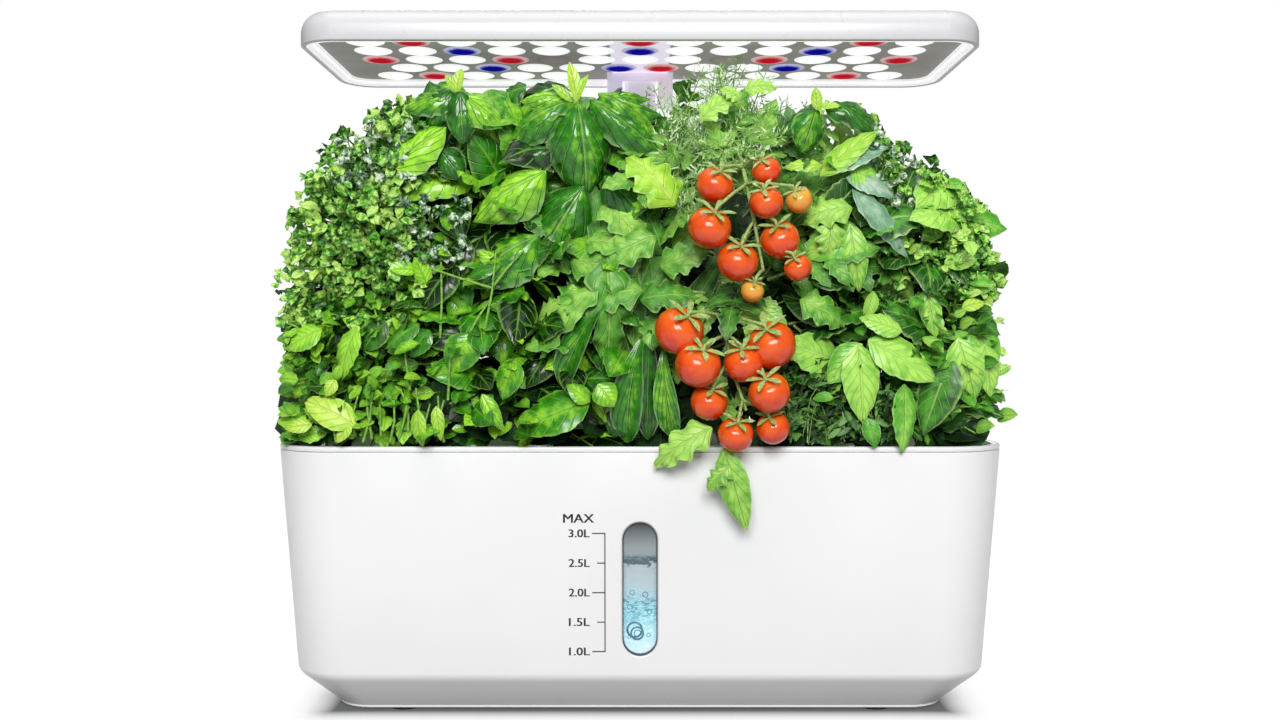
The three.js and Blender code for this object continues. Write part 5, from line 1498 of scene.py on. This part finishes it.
balm = grow("lemon_balm_leaves", "lemon_balm_plant", 4, 15, "balm",
            [(125, -30, 255), (150, -30, 235), (95, -28, 240), (130, 0, 240), (165, -10, 220)], [
    (BALM, (78, -58, 150), (180, -40, 262), 60, (20, 38), (-0.2, 1.0)),
    (SMALL, (84, -58, 150), (180, -40, 270), 44, (8, 15), (0.3, 1.0), OWN, 2),
    (INNER, (76, -32, 140), (154, 12, 258), 80, (24, 34), (0.0, 0.6), SHADED),
    (INNER, (60, -50, 133), (164, -40, 158), 50, (14, 22), (0.0, 0.6), SHADED),
    (SLIM, (60, -57, 140), (120, -49, 176), 170, (4, 9), (0.0, 1.3), THYME, 5, 1.3),
    (SMALL, (120, -60, 136), (182, -46, 200), 40, (6, 12), (0.1, 0.9), OWN, 2),
    (BALM, (164, -50, 138), (174, 18, 232), 40, (14, 24), (0.1, 1.0)),
])
for number in range(34):
    foot = np.array([balm.rng.uniform(64, 116), balm.rng.uniform(-56, -48), balm.rng.uniform(134, 140)]) * MM
    rise = np.array([balm.rng.normal(0, 10), balm.rng.uniform(-4, 2), balm.rng.uniform(16, 32)]) * MM
    path = [foot, foot + rise * (0.3, 1, 0.6), foot + rise]
    # every third stalk takes the pale look with painted glints
    balm.stalk(path, 0.35 * MM, 0.25 * MM, PAINTED_GLINT if number % 3 == 0 else STALK, 3)

# %% [markdown]
# Curly parsley is a mass of small frilled leaflets on branching stalks. Each leaflet is a fan whose edge
# waves strongly. Dill is the opposite: hair-thin threads on a feathered stalk, each drawn as a sliver of
# leaf. Its fronds reach up to the lamp in front of the post.

# %% Parsley and dill
FRILL = LeafKind("fan", 1.0, 4, 5, fold=0.4, arch=1.6, cup=0.35, ruffle=0.28, waves=2.2, teeth=0.35,
                 tooth_count=3)

left = grow("parsley_left_leaves", "parsley_left_plant", 5, 21, "parsley",
            [(-140, -5, 270), (-160, -8, 250), (-118, -5, 275), (-150, 30, 260), (-120, 30, 275)], [
    (FRILL, (-184, -56, 190), (-104, -34, 306), 250, (4.5, 8), (0.1, 1.1), OWN, 6, 1.3),
    # small tufts with painted glints
    (FRILL, (-146, -58, 262), (-110, -50, 288), 16, (4, 7), (0.2, 0.8), PAINTED_GLINT, 4, 1.3),
    (FRILL, (-116, -58, 222), (-84, -50, 254), 16, (4, 7), (0.2, 0.8), PAINTED_GLINT, 4, 1.3),
    (SMALL, (-184, -60, 194), (-114, -46, 262), 80, (5, 9), (0.3, 1.2), OWN, 4, 1.2),
    (FRILL, (-183, -30, 196), (-106, 0, 306), 70, (7, 11), (0.0, 0.7), OWN, 3, 1.1),
    (INNER, (-160, -26, 150), (-106, 24, 276), 70, (14, 22), (0.0, 0.5), SHADED),
    (FRILL, (-183, 20, 190), (-104, 56, 312), 110, (7, 11), (0.1, 1.0), OWN, 5, 1.1),
], 1.2 * MM)
right = grow("parsley_right_leaves", "parsley_right_plant", 9, 22, "parsley",
             [(150, -5, 255), (125, 0, 270), (165, 10, 245), (140, 35, 255)], [
    (FRILL, (114, -54, 204), (184, -30, 292), 170, (4.5, 8), (0.1, 1.0), OWN, 6, 1.3),
    (FRILL, (110, -58, 252), (132, -50, 288), 14, (4, 7), (0.2, 0.8), PAINTED_GLINT, 4, 1.3),
    (SMALL, (132, -56, 192), (185, -42, 256), 60, (5, 9), (0.3, 1.2), OWN, 4, 1.2),
    (INNER, (110, -20, 150), (154, 24, 250), 70, (14, 22), (0.0, 0.5), SHADED),
    (FRILL, (104, 20, 140), (184, 54, 300), 150, (7, 11), (0.1, 1.0), OWN, 5, 1.1),
    (FRILL, (166, -56, 170), (186, 20, 262), 60, (6, 10), (0.0, 1.1), OWN, 5, 1.1),
], 1.2 * MM)


FROND_PAIRS = 9
THREADS = 5
FROND_WIDE = 0.34
THREAD_WIDE = 0.45 * MM


def frond(growth, base, along, length):
    """A feathered dill leaf: a thin middle stalk with side branches of threads."""
    rng = growth.rng
    along = unit(along)
    side = unit(np.cross(along, rng.normal(0, 1, 3)))
    other = np.cross(along, side)
    tip = base + along * length
    growth.stalk([base, (base + tip) / 2, tip], 0.5 * MM, 0.25 * MM, sides=3)
    for i in range(FROND_PAIRS):
        share = 0.2 + 0.8 * i / FROND_PAIRS
        for way in (-1, 1):
            turn = rng.uniform(-0.5, 0.5)
            branch = unit(along * 0.75 + way * (side * math.cos(turn) + other * math.sin(turn)))
            root = base + along * length * share
            reach = length * FROND_WIDE * (1.1 - 0.7 * share)
            for j in range(THREADS):
                start = root + branch * reach * j / THREADS
                thread = unit(branch + rng.normal(0, 0.5, 3))
                sliver(growth, start, thread, reach * 0.55, THREAD_WIDE, rng.uniform(0.3, 0.9))


def sliver(growth, base, along, length, width, tone):
    """One thread of a frond: a triangle that narrows to its tip."""
    across = unit(np.cross(along, growth.rng.normal(0, 1, 3))) * width
    points = keep_inside(np.array([base - across, base + across, base + along * length]))
    if not blocked(points):
        growth.take(points, [(0, 1, 2)], np.array([[0, 0, tone], [0, 0, tone], [1, 0, tone]]), OWN)


DILL_TOPS = [(14, -32, 276), (26, -36, 282), (38, -34, 284), (30, -14, 291), (50, -16, 294), (68, -10, 290),
             (40, 10, 292), (60, 25, 288), (22, 22, 280)]
DILL_BESIDE_POST = [(15, -38, 276), (22, -38, 283), (30, -36, 284), (36, -38, 286)]
dill = grow("dill_fronds", "dill_plant", 8, 23, "dill", DILL_TOPS, [], 0.9 * MM)
for top in DILL_TOPS + DILL_BESIDE_POST:
    for i in range(7):
        root = np.array(top) * MM + dill.rng.normal(0, 1, 3) * (6 * MM, 8 * MM, 14 * MM) - (0, 0, 16 * MM)
        lean = unit(dill.rng.normal(0, 0.75, 3) + (0, -0.15, 0.55))
        frond(dill, root, lean, dill.rng.uniform(26, 44) * MM)

# %% [markdown]
# The salad plant has long strap leaves and lobed ones. The tomato has compound leaves: a middle stalk with
# lobed leaflets in pairs and one at the tip, which is what tells it from its neighbours.

# %% Salad and tomato leaves
STRAP = LeafKind("strap", 0.15, 13, 5, fold=0.35, arch=0.9, ruffle=0.01)
LOBED = LeafKind("lobed", 0.75, 15, 7, fold=0.15, arch=1.0, cup=0.15, quilt=0.015, ruffle=0.03)
LEAFLET = LeafKind("lobed", 0.62, 12, 5, fold=0.2, arch=0.9, cup=0.1, quilt=0.01, ruffle=0.03)


LEAFLET_PAIRS = [(0.3, 0.3), (0.52, 0.38), (0.72, 0.38)]  # (share along the stalk, size), both of the length


def compound(growth, base, along, facing, length, tone):
    """A tomato leaf: pairs of lobed leaflets on a middle stalk, and one at its tip."""
    along, facing = unit(along), unit(facing)
    side = unit(np.cross(along, facing))
    droop = -facing * length * 0.12
    path = [base, base + along * length * 0.5 + droop * 0.3, base + along * length * 0.8 + droop]
    growth.stalk(path, 0.8 * MM, 0.5 * MM, sides=4)
    growth.leaf(LEAFLET, path[2], unit(along + droop / length * 2), facing, length * 0.5, tone)
    for share, size in LEAFLET_PAIRS:
        root = base + along * length * share + droop * share ** 2
        for way in (-1, 1):
            aim = unit(along * 0.55 + side * way)
            growth.leaf(LEAFLET, root, aim, facing, length * size * growth.rng.uniform(0.85, 1.15), tone)


greens = grow("salad_leaves", "leafy_greens_plant", 2, 31, "tomato",
              [(-5, -30, 235), (15, -32, 225), (-25, -30, 220)], [
    (LOBED, (-44, -56, 180), (28, -40, 246), 26, (20, 34), (0.2, 0.95)),
    (INNER, (-44, -32, 140), (28, 10, 244), 60, (26, 40), (0.0, 0.6), SHADED),
])
for i in range(14):
    root = greens.stems[i % 3][i % 3]
    lean = np.array([greens.rng.uniform(-0.6, 0.6), -0.4, 1])
    length, tone = greens.rng.uniform(70, 100) * MM, greens.rng.uniform(0.1, 0.7)
    greens.leaf(STRAP, root, lean, FRONT + 0.2 * UP, length, tone)

tomato = grow("tomato_leaves_and_fruit", "tomato_plant", 3, 32, "tomato",
              [(50, -30, 290), (30, -32, 262), (70, -28, 270), (60, 0, 280)], [
    (INNER, (2, -34, 150), (92, 4, 276), 90, (24, 36), (0.0, 0.6), SHADED),
    (INNER, (-10, -50, 133), (96, -34, 165), 50, (16, 26), (0.0, 0.6), SHADED),
], 2 * MM)
TOMATO_MIDDLE = (48 * MM, 0, 215 * MM)
for spot in even_spots(tomato.rng, (4, -50, 150), (92, -30, 290), 40):
    lean = unit((spot - TOMATO_MIDDLE) * (1, 0.5, 0.4) + tomato.rng.normal(0, 0.4, 3) * 30 * MM)
    facing = unit(FRONT + 0.6 * UP + tomato.rng.normal(0, 0.25, 3))
    length, tone = tomato.rng.uniform(32, 50) * MM, tomato.rng.uniform(0.15, 0.95)
    compound(tomato, spot - lean * 18 * MM, lean, facing, length, tone)
for spot in even_spots(tomato.rng, (8, 14, 150), (92, 50, 290), 20):
    lean = unit(tomato.rng.normal(0, 0.6, 3) + (0, 0.3, 0.1))
    length, tone = tomato.rng.uniform(38, 56) * MM, tomato.rng.uniform(0.2, 0.7)
    compound(tomato, spot, lean, unit(BACK + UP), length, tone)

# %% [markdown]
# The large leaves that give the picture its character are placed one by one. Each row says where the
# camera sees a leaf's stalk end and its tip in the picture, how wide it looks there, its tone, its finish
# and its depth in millimetres. The rest of the leaf, its arch and its cup, comes from its kind. Thin
# stalks are placed the same way.

# %% Leaves placed one by one
def at(px, py, y):
    """The point that the camera sees at a place in the picture, at a depth in millimetres."""
    reach = (y * MM - EYE.y) / FOCAL_PX
    return np.array([(px - PHOTO_WIDE / 2) * reach, y * MM, EYE.z + (HORIZON_PX - py) * reach])


def placed(growth, kind, rows):
    """Leaves placed by the picture; a row is (stalk end, tip, width, tone, finish, depth)."""
    for base, tip, width, tone, finish, depth in rows:
        start, end = at(*base, depth), at(*tip, depth - 2)
        length = np.linalg.norm(end - start)
        own = copy.copy(kind)
        own.wide = width / math.dist(base, tip)
        facing = FRONT + UP * 0.55 + np.array([growth.rng.uniform(-0.45, 0.45), 0, 0])
        growth.leaf(own, start, end - start, facing, length * 1.04, tone, finish)


GLOSSY = LeafKind("ovate", 0.6, 21, 15, fold=0.05, arch=1.1, cup=0.75, quilt=0.05, ruffle=0.02, slant=0.75)
CRINKLED = LeafKind("broad", 0.7, 17, 11, fold=0.05, arch=0.9, cup=0.5, quilt=0.05, ruffle=0.03, waves=4)
SOFT = LeafKind("ovate", 0.6, 15, 9, fold=0.15, arch=0.7, cup=0.25, quilt=0.02, ruffle=0.02)
CUT = LeafKind("lobed", 0.8, 25, 11, fold=0.12, arch=0.9, cup=0.2, quilt=0.035, ruffle=0.04)
BAND = LeafKind("strap", 0.3, 17, 7, fold=0.3, arch=0.8)


def placed_stalks(growth, rows):
    """Thin stalks that show in front of the leaves; a row is (foot, top, depth)."""
    for foot, top, depth in rows:
        low, high = at(*foot, depth), at(*top, depth - 1)
        middle = (low + high) / 2 + FRONT * 1.5 * MM + (growth.rng.normal(0, 1 * MM), 0, 0)
        growth.stalk([low, middle, high], 0.75 * MM, 0.5 * MM)


placed(tall, CRINKLED, [
    ((455, 95), (402, 102), 36, 0.6, RIDGED, -54), ((395, 168), (442, 124), 42, 0.95, RIDGED, -56),
    ((460, 92), (463, 142), 32, 0.35, RIDGED, -57), ((464, 96), (502, 124), 36, 0.75, RIDGED, -56),
    ((452, 92), (425, 128), 34, 0.35, RIDGED, -55), ((440, 150), (462, 178), 30, 0.3, RIDGED, -52),
])
placed(tall, GLOSSY, [
    ((546, 172), (466, 214), 56, 0.8, RIDGED, -57), ((540, 236), (460, 278), 58, 0.55, RIDGED, -55),
    ((560, 150), (500, 150), 42, 0.12, RIDGED, -52), ((584, 186), (534, 264), 58, 0.42, RIDGED, -55),
    ((500, 262), (478, 248), 18, 0.9, RIDGED, -58),
])
placed(broad, GLOSSY, [
    ((572, 102), (497, 134), 46, 0.5, RIDGED, -56), ((577, 103), (592, 206), 66, 0.42, RIDGED, -59),
    ((590, 100), (668, 152), 40, 0.45, RIDGED, -56), ((598, 94), (672, 132), 30, 0.6, RIDGED, -54),
    ((604, 176), (646, 216), 44, 0.3, RIDGED, -53), ((566, 98), (520, 96), 26, 0.75, RIDGED, -55),
])
placed(broad, SMALL, [
    ((577, 104), (571, 62), 14, 0.75, LIME, -58), ((575, 104), (586, 74), 10, 0.6, LIME, -58),
    ((572, 102), (553, 84), 10, 0.5, LIME, -57),
])
placed(broad, GLOSSY, [
    ((592, 112), (664, 106), 34, 0.4, RIDGED, -52), ((596, 100), (650, 92), 20, 0.6, RIDGED, -50),
])
placed(tall, SMALL, [((457, 92), (460, 68), 12, 0.7, LIME, -58), ((456, 92), (446, 74), 9, 0.5, LIME, -58)])
placed(bush, SOFT, [
    ((590, 402), (512, 426), 48, 0.55, OWN, -59), ((574, 396), (556, 450), 34, 0.4, OWN, -61),
    ((596, 410), (652, 448), 48, 0.6, OWN, -60), ((584, 414), (594, 448), 46, 0.45, OWN, -59),
    ((590, 402), (568, 384), 20, 0.7, OWN, -62), ((598, 384), (614, 406), 26, 0.75, OWN, -61),
    ((516, 360), (500, 398), 32, 0.6, OWN, -60), ((472, 334), (448, 374), 36, 0.6, OWN, -59),
    ((482, 394), (502, 430), 16, 0.75, OWN, -60), ((430, 330), (408, 356), 24, 0.4, OWN, -60),
    ((470, 278), (500, 262), 16, 0.4, OWN, -60),
])
placed(mint, SOFT, [
    ((356, 426), (302, 396), 32, 0.8, LIME, -60), ((418, 410), (419, 448), 16, 0.5, LIME, -62),
    ((436, 406), (440, 440), 13, 0.5, LIME, -62), ((312, 425), (284, 427), 16, 0.7, LIME, -60),
    ((322, 330), (283, 346), 30, 0.9, OWN, -60), ((358, 328), (334, 378), 28, 0.9, OWN, -60),
    ((420, 324), (384, 346), 22, 0.35, OWN, -59), ((386, 322), (360, 350), 28, 0.2, OWN, -58),
    ((350, 422), (336, 442), 16, 0.8, LIME, -61), ((336, 380), (324, 396), 14, 0.8, LIME, -61),
])
placed_stalks(bush, [
    ((484, 334), (496, 250), -60), ((492, 288), (430, 268), -60), ((492, 288), (524, 250), -60),
    ((470, 332), (490, 300), -59), ((440, 338), (441, 262), -59), ((448, 400), (452, 340), -58),
    ((380, 345), (372, 300), -58), ((410, 390), (404, 330), -58),
])
placed_stalks(mint, [
    ((336 + 9 * i, 442 - i % 3 * 3), (330 + 9 * i + i % 4 * 5, 404 - i % 5 * 4), -57 + i % 3)
    for i in range(13)
])
placed(greens, CUT, [
    ((674, 206), (630, 148), 54, 0.55, LIME, -60), ((656, 236), (592, 264), 42, 0.62, OWN, -58),
    ((642, 290), (572, 300), 44, 0.5, OWN, -58), ((600, 284), (532, 352), 32, 0.7, OWN, -60),
    ((606, 256), (612, 372), 50, 0.45, OWN, -57), ((640, 300), (700, 290), 40, 0.4, OWN, -56),
])
placed(greens, BAND, [
    ((604, 304), (548, 386), 32, 0.45, RIDGED, -58), ((642, 340), (618, 444), 36, 0.45, RIDGED, -56),
    ((664, 350), (668, 444), 26, 0.6, RIDGED, -58), ((650, 330), (646, 440), 28, 0.2, RIDGED, -55),
])
placed(tomato, CUT, [
    ((712, 428), (648, 464), 38, 0.95, OWN, -68), ((730, 466), (706, 490), 24, 0.7, OWN, -70),
    ((852, 208), (798, 216), 38, 0.85, OWN, -57), ((832, 222), (828, 262), 32, 0.85, OWN, -58),
    ((800, 300), (850, 322), 40, 0.6, OWN, -57), ((700, 120), (740, 86), 30, 1.3, OWN, -52),
    ((745, 90), (778, 82), 24, 1.2, OWN, -52), ((740, 100), (722, 84), 20, 1.2, OWN, -54),
])
placed(tomato, SOFT, [((724, 448), (745, 530), 32, 0.75, OWN, -68)])
placed(balm, SOFT, [
    ((820, 176), (876, 128), 26, 0.45, LIME, -59), ((824, 172), (888, 142), 24, 0.5, SAGE, -58),
    ((822, 166), (784, 164), 15, 0.6, LIME, -59), ((852, 190), (914, 254), 26, 0.45, SAGE, -59),
    ((846, 178), (900, 190), 26, 0.6, SAGE, -57), ((850, 224), (859, 292), 28, 0.75, OWN, -57),
    ((858, 344), (865, 422), 38, 0.9, OWN, -61), ((862, 344), (828, 382), 32, 0.65, OWN, -59),
    ((868, 340), (938, 378), 42, 0.85, OWN, -60), ((902, 332), (862, 316), 24, 0.85, OWN, -60),
    ((952, 358), (922, 432), 42, 0.15, OWN, -59), ((958, 338), (976, 402), 36, 0.85, OWN, -59),
    ((984, 344), (994, 396), 26, 0.85, OWN, -56), ((904, 384), (906, 452), 28, 0.6, OWN, -61),
    ((926, 288), (936, 338), 22, 0.75, OWN, -58), ((962, 308), (986, 300), 14, 0.7, LIME, -58),
    ((850, 170), (880, 180), 34, 0.8, OWN, -56), ((868, 418), (876, 448), 18, 0.4, OWN, -61),
])
placed(balm, CRINKLED, [
    ((818, 110), (782, 132), 28, 0.3, RIDGED, -55), ((826, 108), (880, 114), 28, 0.4, RIDGED, -54),
    ((815, 112), (804, 152), 34, 0.5, RIDGED, -57), ((840, 104), (880, 130), 26, 0.35, RIDGED, -55),
])
placed(balm, SMALL, [
    ((817, 110), (816, 88), 12, 0.7, LIME, -58), ((818, 108), (840, 104), 9, 0.6, LIME, -58),
])

# %% [markdown]
# Two trusses of small tomatoes hang in front. A ripe tomato is a slightly flattened ball with a dimple at
# its stalk, so it is turned from a profile and not taken from a sphere. Its skin is waxy and very glossy,
# with faint speckles, and a star of green sepals and a jointed stalk sit in the dimple. A row is (across,
# height, radius, how far forward); the first three are millimetres.

# %% Tomatoes
UPPER_TRUSS = [(35.2, 257.9, 8.9, 0.4), (32.4, 237.2, 10.3, 0.75), (59.6, 264.9, 7, 0.4),
               (58.7, 249, 8, 1), (74.7, 250.9, 6.6, 0.6), (65.7, 232.1, 9.4, 0.45),
               (45.6, 221.7, 9.9, 0.6), (73.7, 218.9, 6.6, 0.9), (52.6, 208.1, 5.6, 0.9)]
LOWER_TRUSS = [(18.3, 189.3, 11.7, 0.5), (61.5, 182.8, 11.7, 0.4), (26.8, 173.4, 10.8, 1),
               (48.4, 174.3, 9.4, 0.75), (32.4, 156, 8.9, 0.5), (60.1, 160.7, 9.9, 0.9),
               (44.6, 141, 8.5, 0.8), (62.5, 143.8, 8, 0.45)]


def ripe_skin(name, ripe, shaded, pale):
    """Waxy tomato skin: strong clear gloss over a colour that pales a little towards the stalk, partly as the
    real paler shoulder and partly as a painted highlight, and turns darker red below as painted shade.
    """
    material, tree, shader = new_material(name, {"IOR": 1.45, "Coat Weight": 0.35, "Coat Roughness": 0.08})
    down = add(tree, "Math", (on_leaf(tree)["X"], uneven(tree, 7 * MM, -0.12, 0.12)), operation="ADD")
    # painted shade: darker red towards the bottom of the fruit
    to_shaded = add(tree, "MapRange", (down, 0.35, 0.85, 0, 1))
    body = add(tree, "Mix", {"Factor": to_shaded, "A": ripe, "B": shaded}, data_type="RGBA")
    # paler towards the stalk: the real paler shoulder and a painted highlight on the top
    to_pale = add(tree, "MapRange", (down, 0.12, 0.6, 0.85, 0))
    tone = add(tree, "Mix", {"Factor": to_pale, "A": body, "B": pale}, data_type="RGBA")
    speckles = add(tree, "Bump", {"Height": grain(tree, 0.8 * MM), "Distance": 0.04 * MM, "Strength": 0.2})
    feed(tree, shader, Base_Color=tone, Roughness=uneven(tree, 3 * MM, 0.18, 0.28), Normal=speckles)
    return material


RIPE, TURNING = 3, 4
TURNING_BELOW = 6.65
SEPAL = LeafKind("strap", 0.27, 6, 3, fold=0.2, arch=0.5)


def ball(growth, middle, radius, stalk_way, finish):
    """One tomato with its dimple towards the stalk; returns where the sepals start, and its axes."""
    axis = unit(stalk_way)
    side = unit(np.cross(axis, (0.2, 1, 0.1)))
    other = np.cross(axis, side)
    around, down = 22, 13
    points, values = [], []
    for i in range(down):
        share = i / (down - 1)
        angle = share * math.pi
        reach = radius * math.sin(angle)
        dimple = 0.22 * radius * math.exp(-(share / 0.12) ** 2)
        height = radius * 0.94 * math.cos(angle) - dimple
        for turn in turns(around):
            lobe = 1 + 0.012 * math.cos(5 * turn)
            outward = side * math.cos(turn) + other * math.sin(turn)
            points.append(middle + axis * height + outward * reach * lobe)
            values.append((share, 0, PLAIN_TONE))
    faces = [(a, d, c, b) for a, b, c, d in skin(down, around)]
    growth.take(np.array(points), faces, np.array(values), finish)
    return middle + axis * radius * 0.74, axis, side, other


def fruit(growth, place, truss_path, index):
    """One tomato of a truss, its sepals, and its stalk to the nearest point of the truss above it."""
    across, high, size, forward = place
    radius = size * MM
    middle = np.array([across * MM, -(54 + size + 12 * forward) * MM, high * MM])
    gaps = np.linalg.norm(truss_path - middle - (0, 0, 2 * radius), axis=1)
    anchor = truss_path[np.argmin(gaps)]
    way = unit(unit(anchor - middle) * (0.6, 0.2, 0.4) + (0, -0.95, 0.8))
    finish = RIPE if size > TURNING_BELOW or index % 2 else TURNING
    crown_spot, axis, side, other = ball(growth, middle, radius, way, finish)
    for turn in turns(5):
        aim = side * math.cos(turn + index) + other * math.sin(turn + index) + axis * 0.35
        growth.leaf(SEPAL, crown_spot + axis * 0.8 * MM, aim, axis, radius, 0.95, STALK)
    knee = (crown_spot + anchor) / 2 + axis * 3 * MM
    growth.stalk([crown_spot, crown_spot + axis * 4 * MM, knee, anchor], 0.8 * MM, 0.9 * MM)


def curve_through(points, steps=16):
    """Even steps along straight lines between points in millimetres."""
    points = np.array(points) * MM
    t = np.linspace(0, len(points) - 1, steps)
    return np.stack([np.interp(t, range(len(points)), points[:, i]) for i in range(3)], axis=-1)


upper_path = curve_through([(50, -30, 282), (48, -48, 276), (50, -62, 262), (54, -66, 240), (58, -66, 218)])
lower_path = curve_through([(50, -30, 215), (42, -48, 206), (40, -62, 190), (44, -66, 170), (50, -66, 152)])
for path in (upper_path, lower_path):
    tomato.stalk(path, 1.3 * MM, 0.8 * MM, STALK, 6)
for places, path in ((UPPER_TRUSS, upper_path), (LOWER_TRUSS, lower_path)):
    for index, place in enumerate(places):
        fruit(tomato, place, path, index)
tomato.looks = [
    LOOKS["tomato"], stem_pale, LOOKS["shaded"],
    ripe_skin("ripe_tomato_skin", "#ee3a08", "#c21b06", "#f6701a"),
    ripe_skin("turning_tomato_skin", "#f4902a", "#e86a12", "#ecc052"),
]
for plant in (tall, broad, bush, mint, balm, left, right, dill, greens, tomato):
    plant.make(plant.name, plant.looks, [plant.node])

# %% [markdown]
# The garden stands on a white table in a white room. The camera sees table and room as white through Light
# Path, while other rays meet a mid-grey table, so the bevelled foot keeps its grey shade as in the photo.
# A contact shadow is painted dark on the table close round the foot. Large soft lamps light the object at a
# plain level, so colours come out about as they are written.

# %% Stage and light
FOOT_HALF = (153 * MM, 30.5 * MM)
PAINTED_SHADOW_REACH = 18 * MM
PAINTED_SHADOW_SHARE = 0.85
GLOW_NEAR, NEAR_END, FAR_START = 0.55, 0.35, 0.8
ROOM_LIGHT = 0.25
WHITE = (1, 1, 1, 1)
TABLE = [(-6, -4, 0), (6, -4, 0), (6, 8, 0), (-6, 8, 0)]
MIDDLE = (0, 0, 0.18)
PANELS = {
    "front_panel": ((0, -1.75, 1.0), (1.0, 0.7), 32),
    "top_panel": ((0, -0.2, 1.7), (1.4, 1.0), 8),
    "back_panel": ((0, 1.8, 1.0), (1.4, 0.8), 30),
}


def seen_by(tree, *rays):
    """1 for the named kinds of ray, 0 for all others."""
    paths = add(tree, "LightPath").outputs
    level = paths[rays[0]]
    for ray in rays[1:]:
        level = add(tree, "Math", (level, paths[ray]), operation="MAXIMUM")
    return level


def nearness_to_foot(tree, place):
    """1 on the table under the tank's foot, falling to 0 a short reach away: the mask of the painted shadow.
    """
    axes = add(tree, "SeparateXYZ", (place,)).outputs
    beyond = []
    for axis, half in zip("XY", FOOT_HALF):
        from_middle = add(tree, "Math", (axes[axis],), operation="ABSOLUTE")
        outside = add(tree, "Math", (from_middle, half), operation="SUBTRACT")
        beyond.append(add(tree, "Math", (outside, 0), operation="MAXIMUM"))
    apart = add(tree, "CombineXYZ", beyond)
    distance = add(tree, "VectorMath", (apart,), operation="LENGTH").outputs["Value"]
    near = add(tree, "MapRange", (distance, 0, PAINTED_SHADOW_REACH, 1, 0))
    return add(tree, "Math", (near, 2), operation="POWER")


def stage_white():
    """Painted table: it keeps the object's shadow near it, and is white to the camera and in reflections;
    round the tank's foot a contact shadow is painted on it.
    """
    values = {"Roughness": 0.7, "Specular IOR Level": 0.0, "Emission Color": WHITE}
    material, tree, shader = new_material("white_table_paint", values)
    straight = seen_by(tree, "Is Camera Ray", "Is Glossy Ray", "Is Transmission Ray")
    place = add(tree, "TexCoord").outputs["Object"]
    distance = add(tree, "VectorMath", (place,), operation="LENGTH").outputs["Value"]
    far_off = add(tree, "MapRange", (distance, NEAR_END, FAR_START, 0, 1))
    shade = two_tone(tree, 300 * MM, "#838384", "#878788")
    seen = add(tree, "Mix", {"Factor": far_off, "A": "#bdbdbe", "B": "#000000"}, data_type="RGBA")
    pale = add(tree, "Mix", {"Factor": straight, "A": shade, "B": seen}, data_type="RGBA")
    # painted shadow: camera rays see the table darkened round the tank's foot
    shadow = add(tree, "Math", (nearness_to_foot(tree, place), straight), operation="MULTIPLY")
    painted_contact_shadow = add(tree, "Math", (shadow, PAINTED_SHADOW_SHARE), operation="MULTIPLY")
    clear = add(tree, "Math", (1, painted_contact_shadow), operation="SUBTRACT")
    light = add(tree, "MapRange", (far_off, 0, 1, GLOW_NEAR, 1))
    unshaded = add(tree, "Math", (light, clear), operation="MULTIPLY")
    glow = add(tree, "Math", (unshaded, straight), operation="MULTIPLY")
    tone = add(tree, "Mix", {"Factor": painted_contact_shadow, "A": pale, "B": "#303433"}, data_type="RGBA")
    feed(tree, shader, Base_Color=tone, Emission_Strength=glow)
    return material


floor_mesh = mesh_of("table", TABLE, [(0, 1, 2, 3)])
floor_mesh.materials.append(stage_white())
floor = add_object("table", floor_mesh)

world = bpy.data.worlds.new("white_room")
bpy.context.scene.world = world
world.use_nodes = True
sky = world.node_tree
sky.nodes.clear()
level = add(sky, "MapRange", (seen_by(sky, "Is Camera Ray", "Is Transmission Ray"), 0, 1, ROOM_LIGHT, 1))
room = add(sky, "Background", {"Color": WHITE, "Strength": level})
add(sky, "OutputWorld", {"Surface": room})


def soft_lamp(name, place, size, watts):
    """A large lamp that looks at the middle of the garden."""
    data = bpy.data.lights.new(name, "AREA")
    data.shape = "RECTANGLE"
    data.size, data.size_y = size
    data.energy = watts
    lamp = add_object(name, data)
    lamp.location = place
    lamp.rotation_euler = (Vector(MIDDLE) - Vector(place)).to_track_quat("-Z", "Y").to_euler()


for name, panel in PANELS.items():
    soft_lamp(name, *panel)
print(len(PANELS), "soft lamps")

bpy.context.scene.view_settings.view_transform = "Standard"
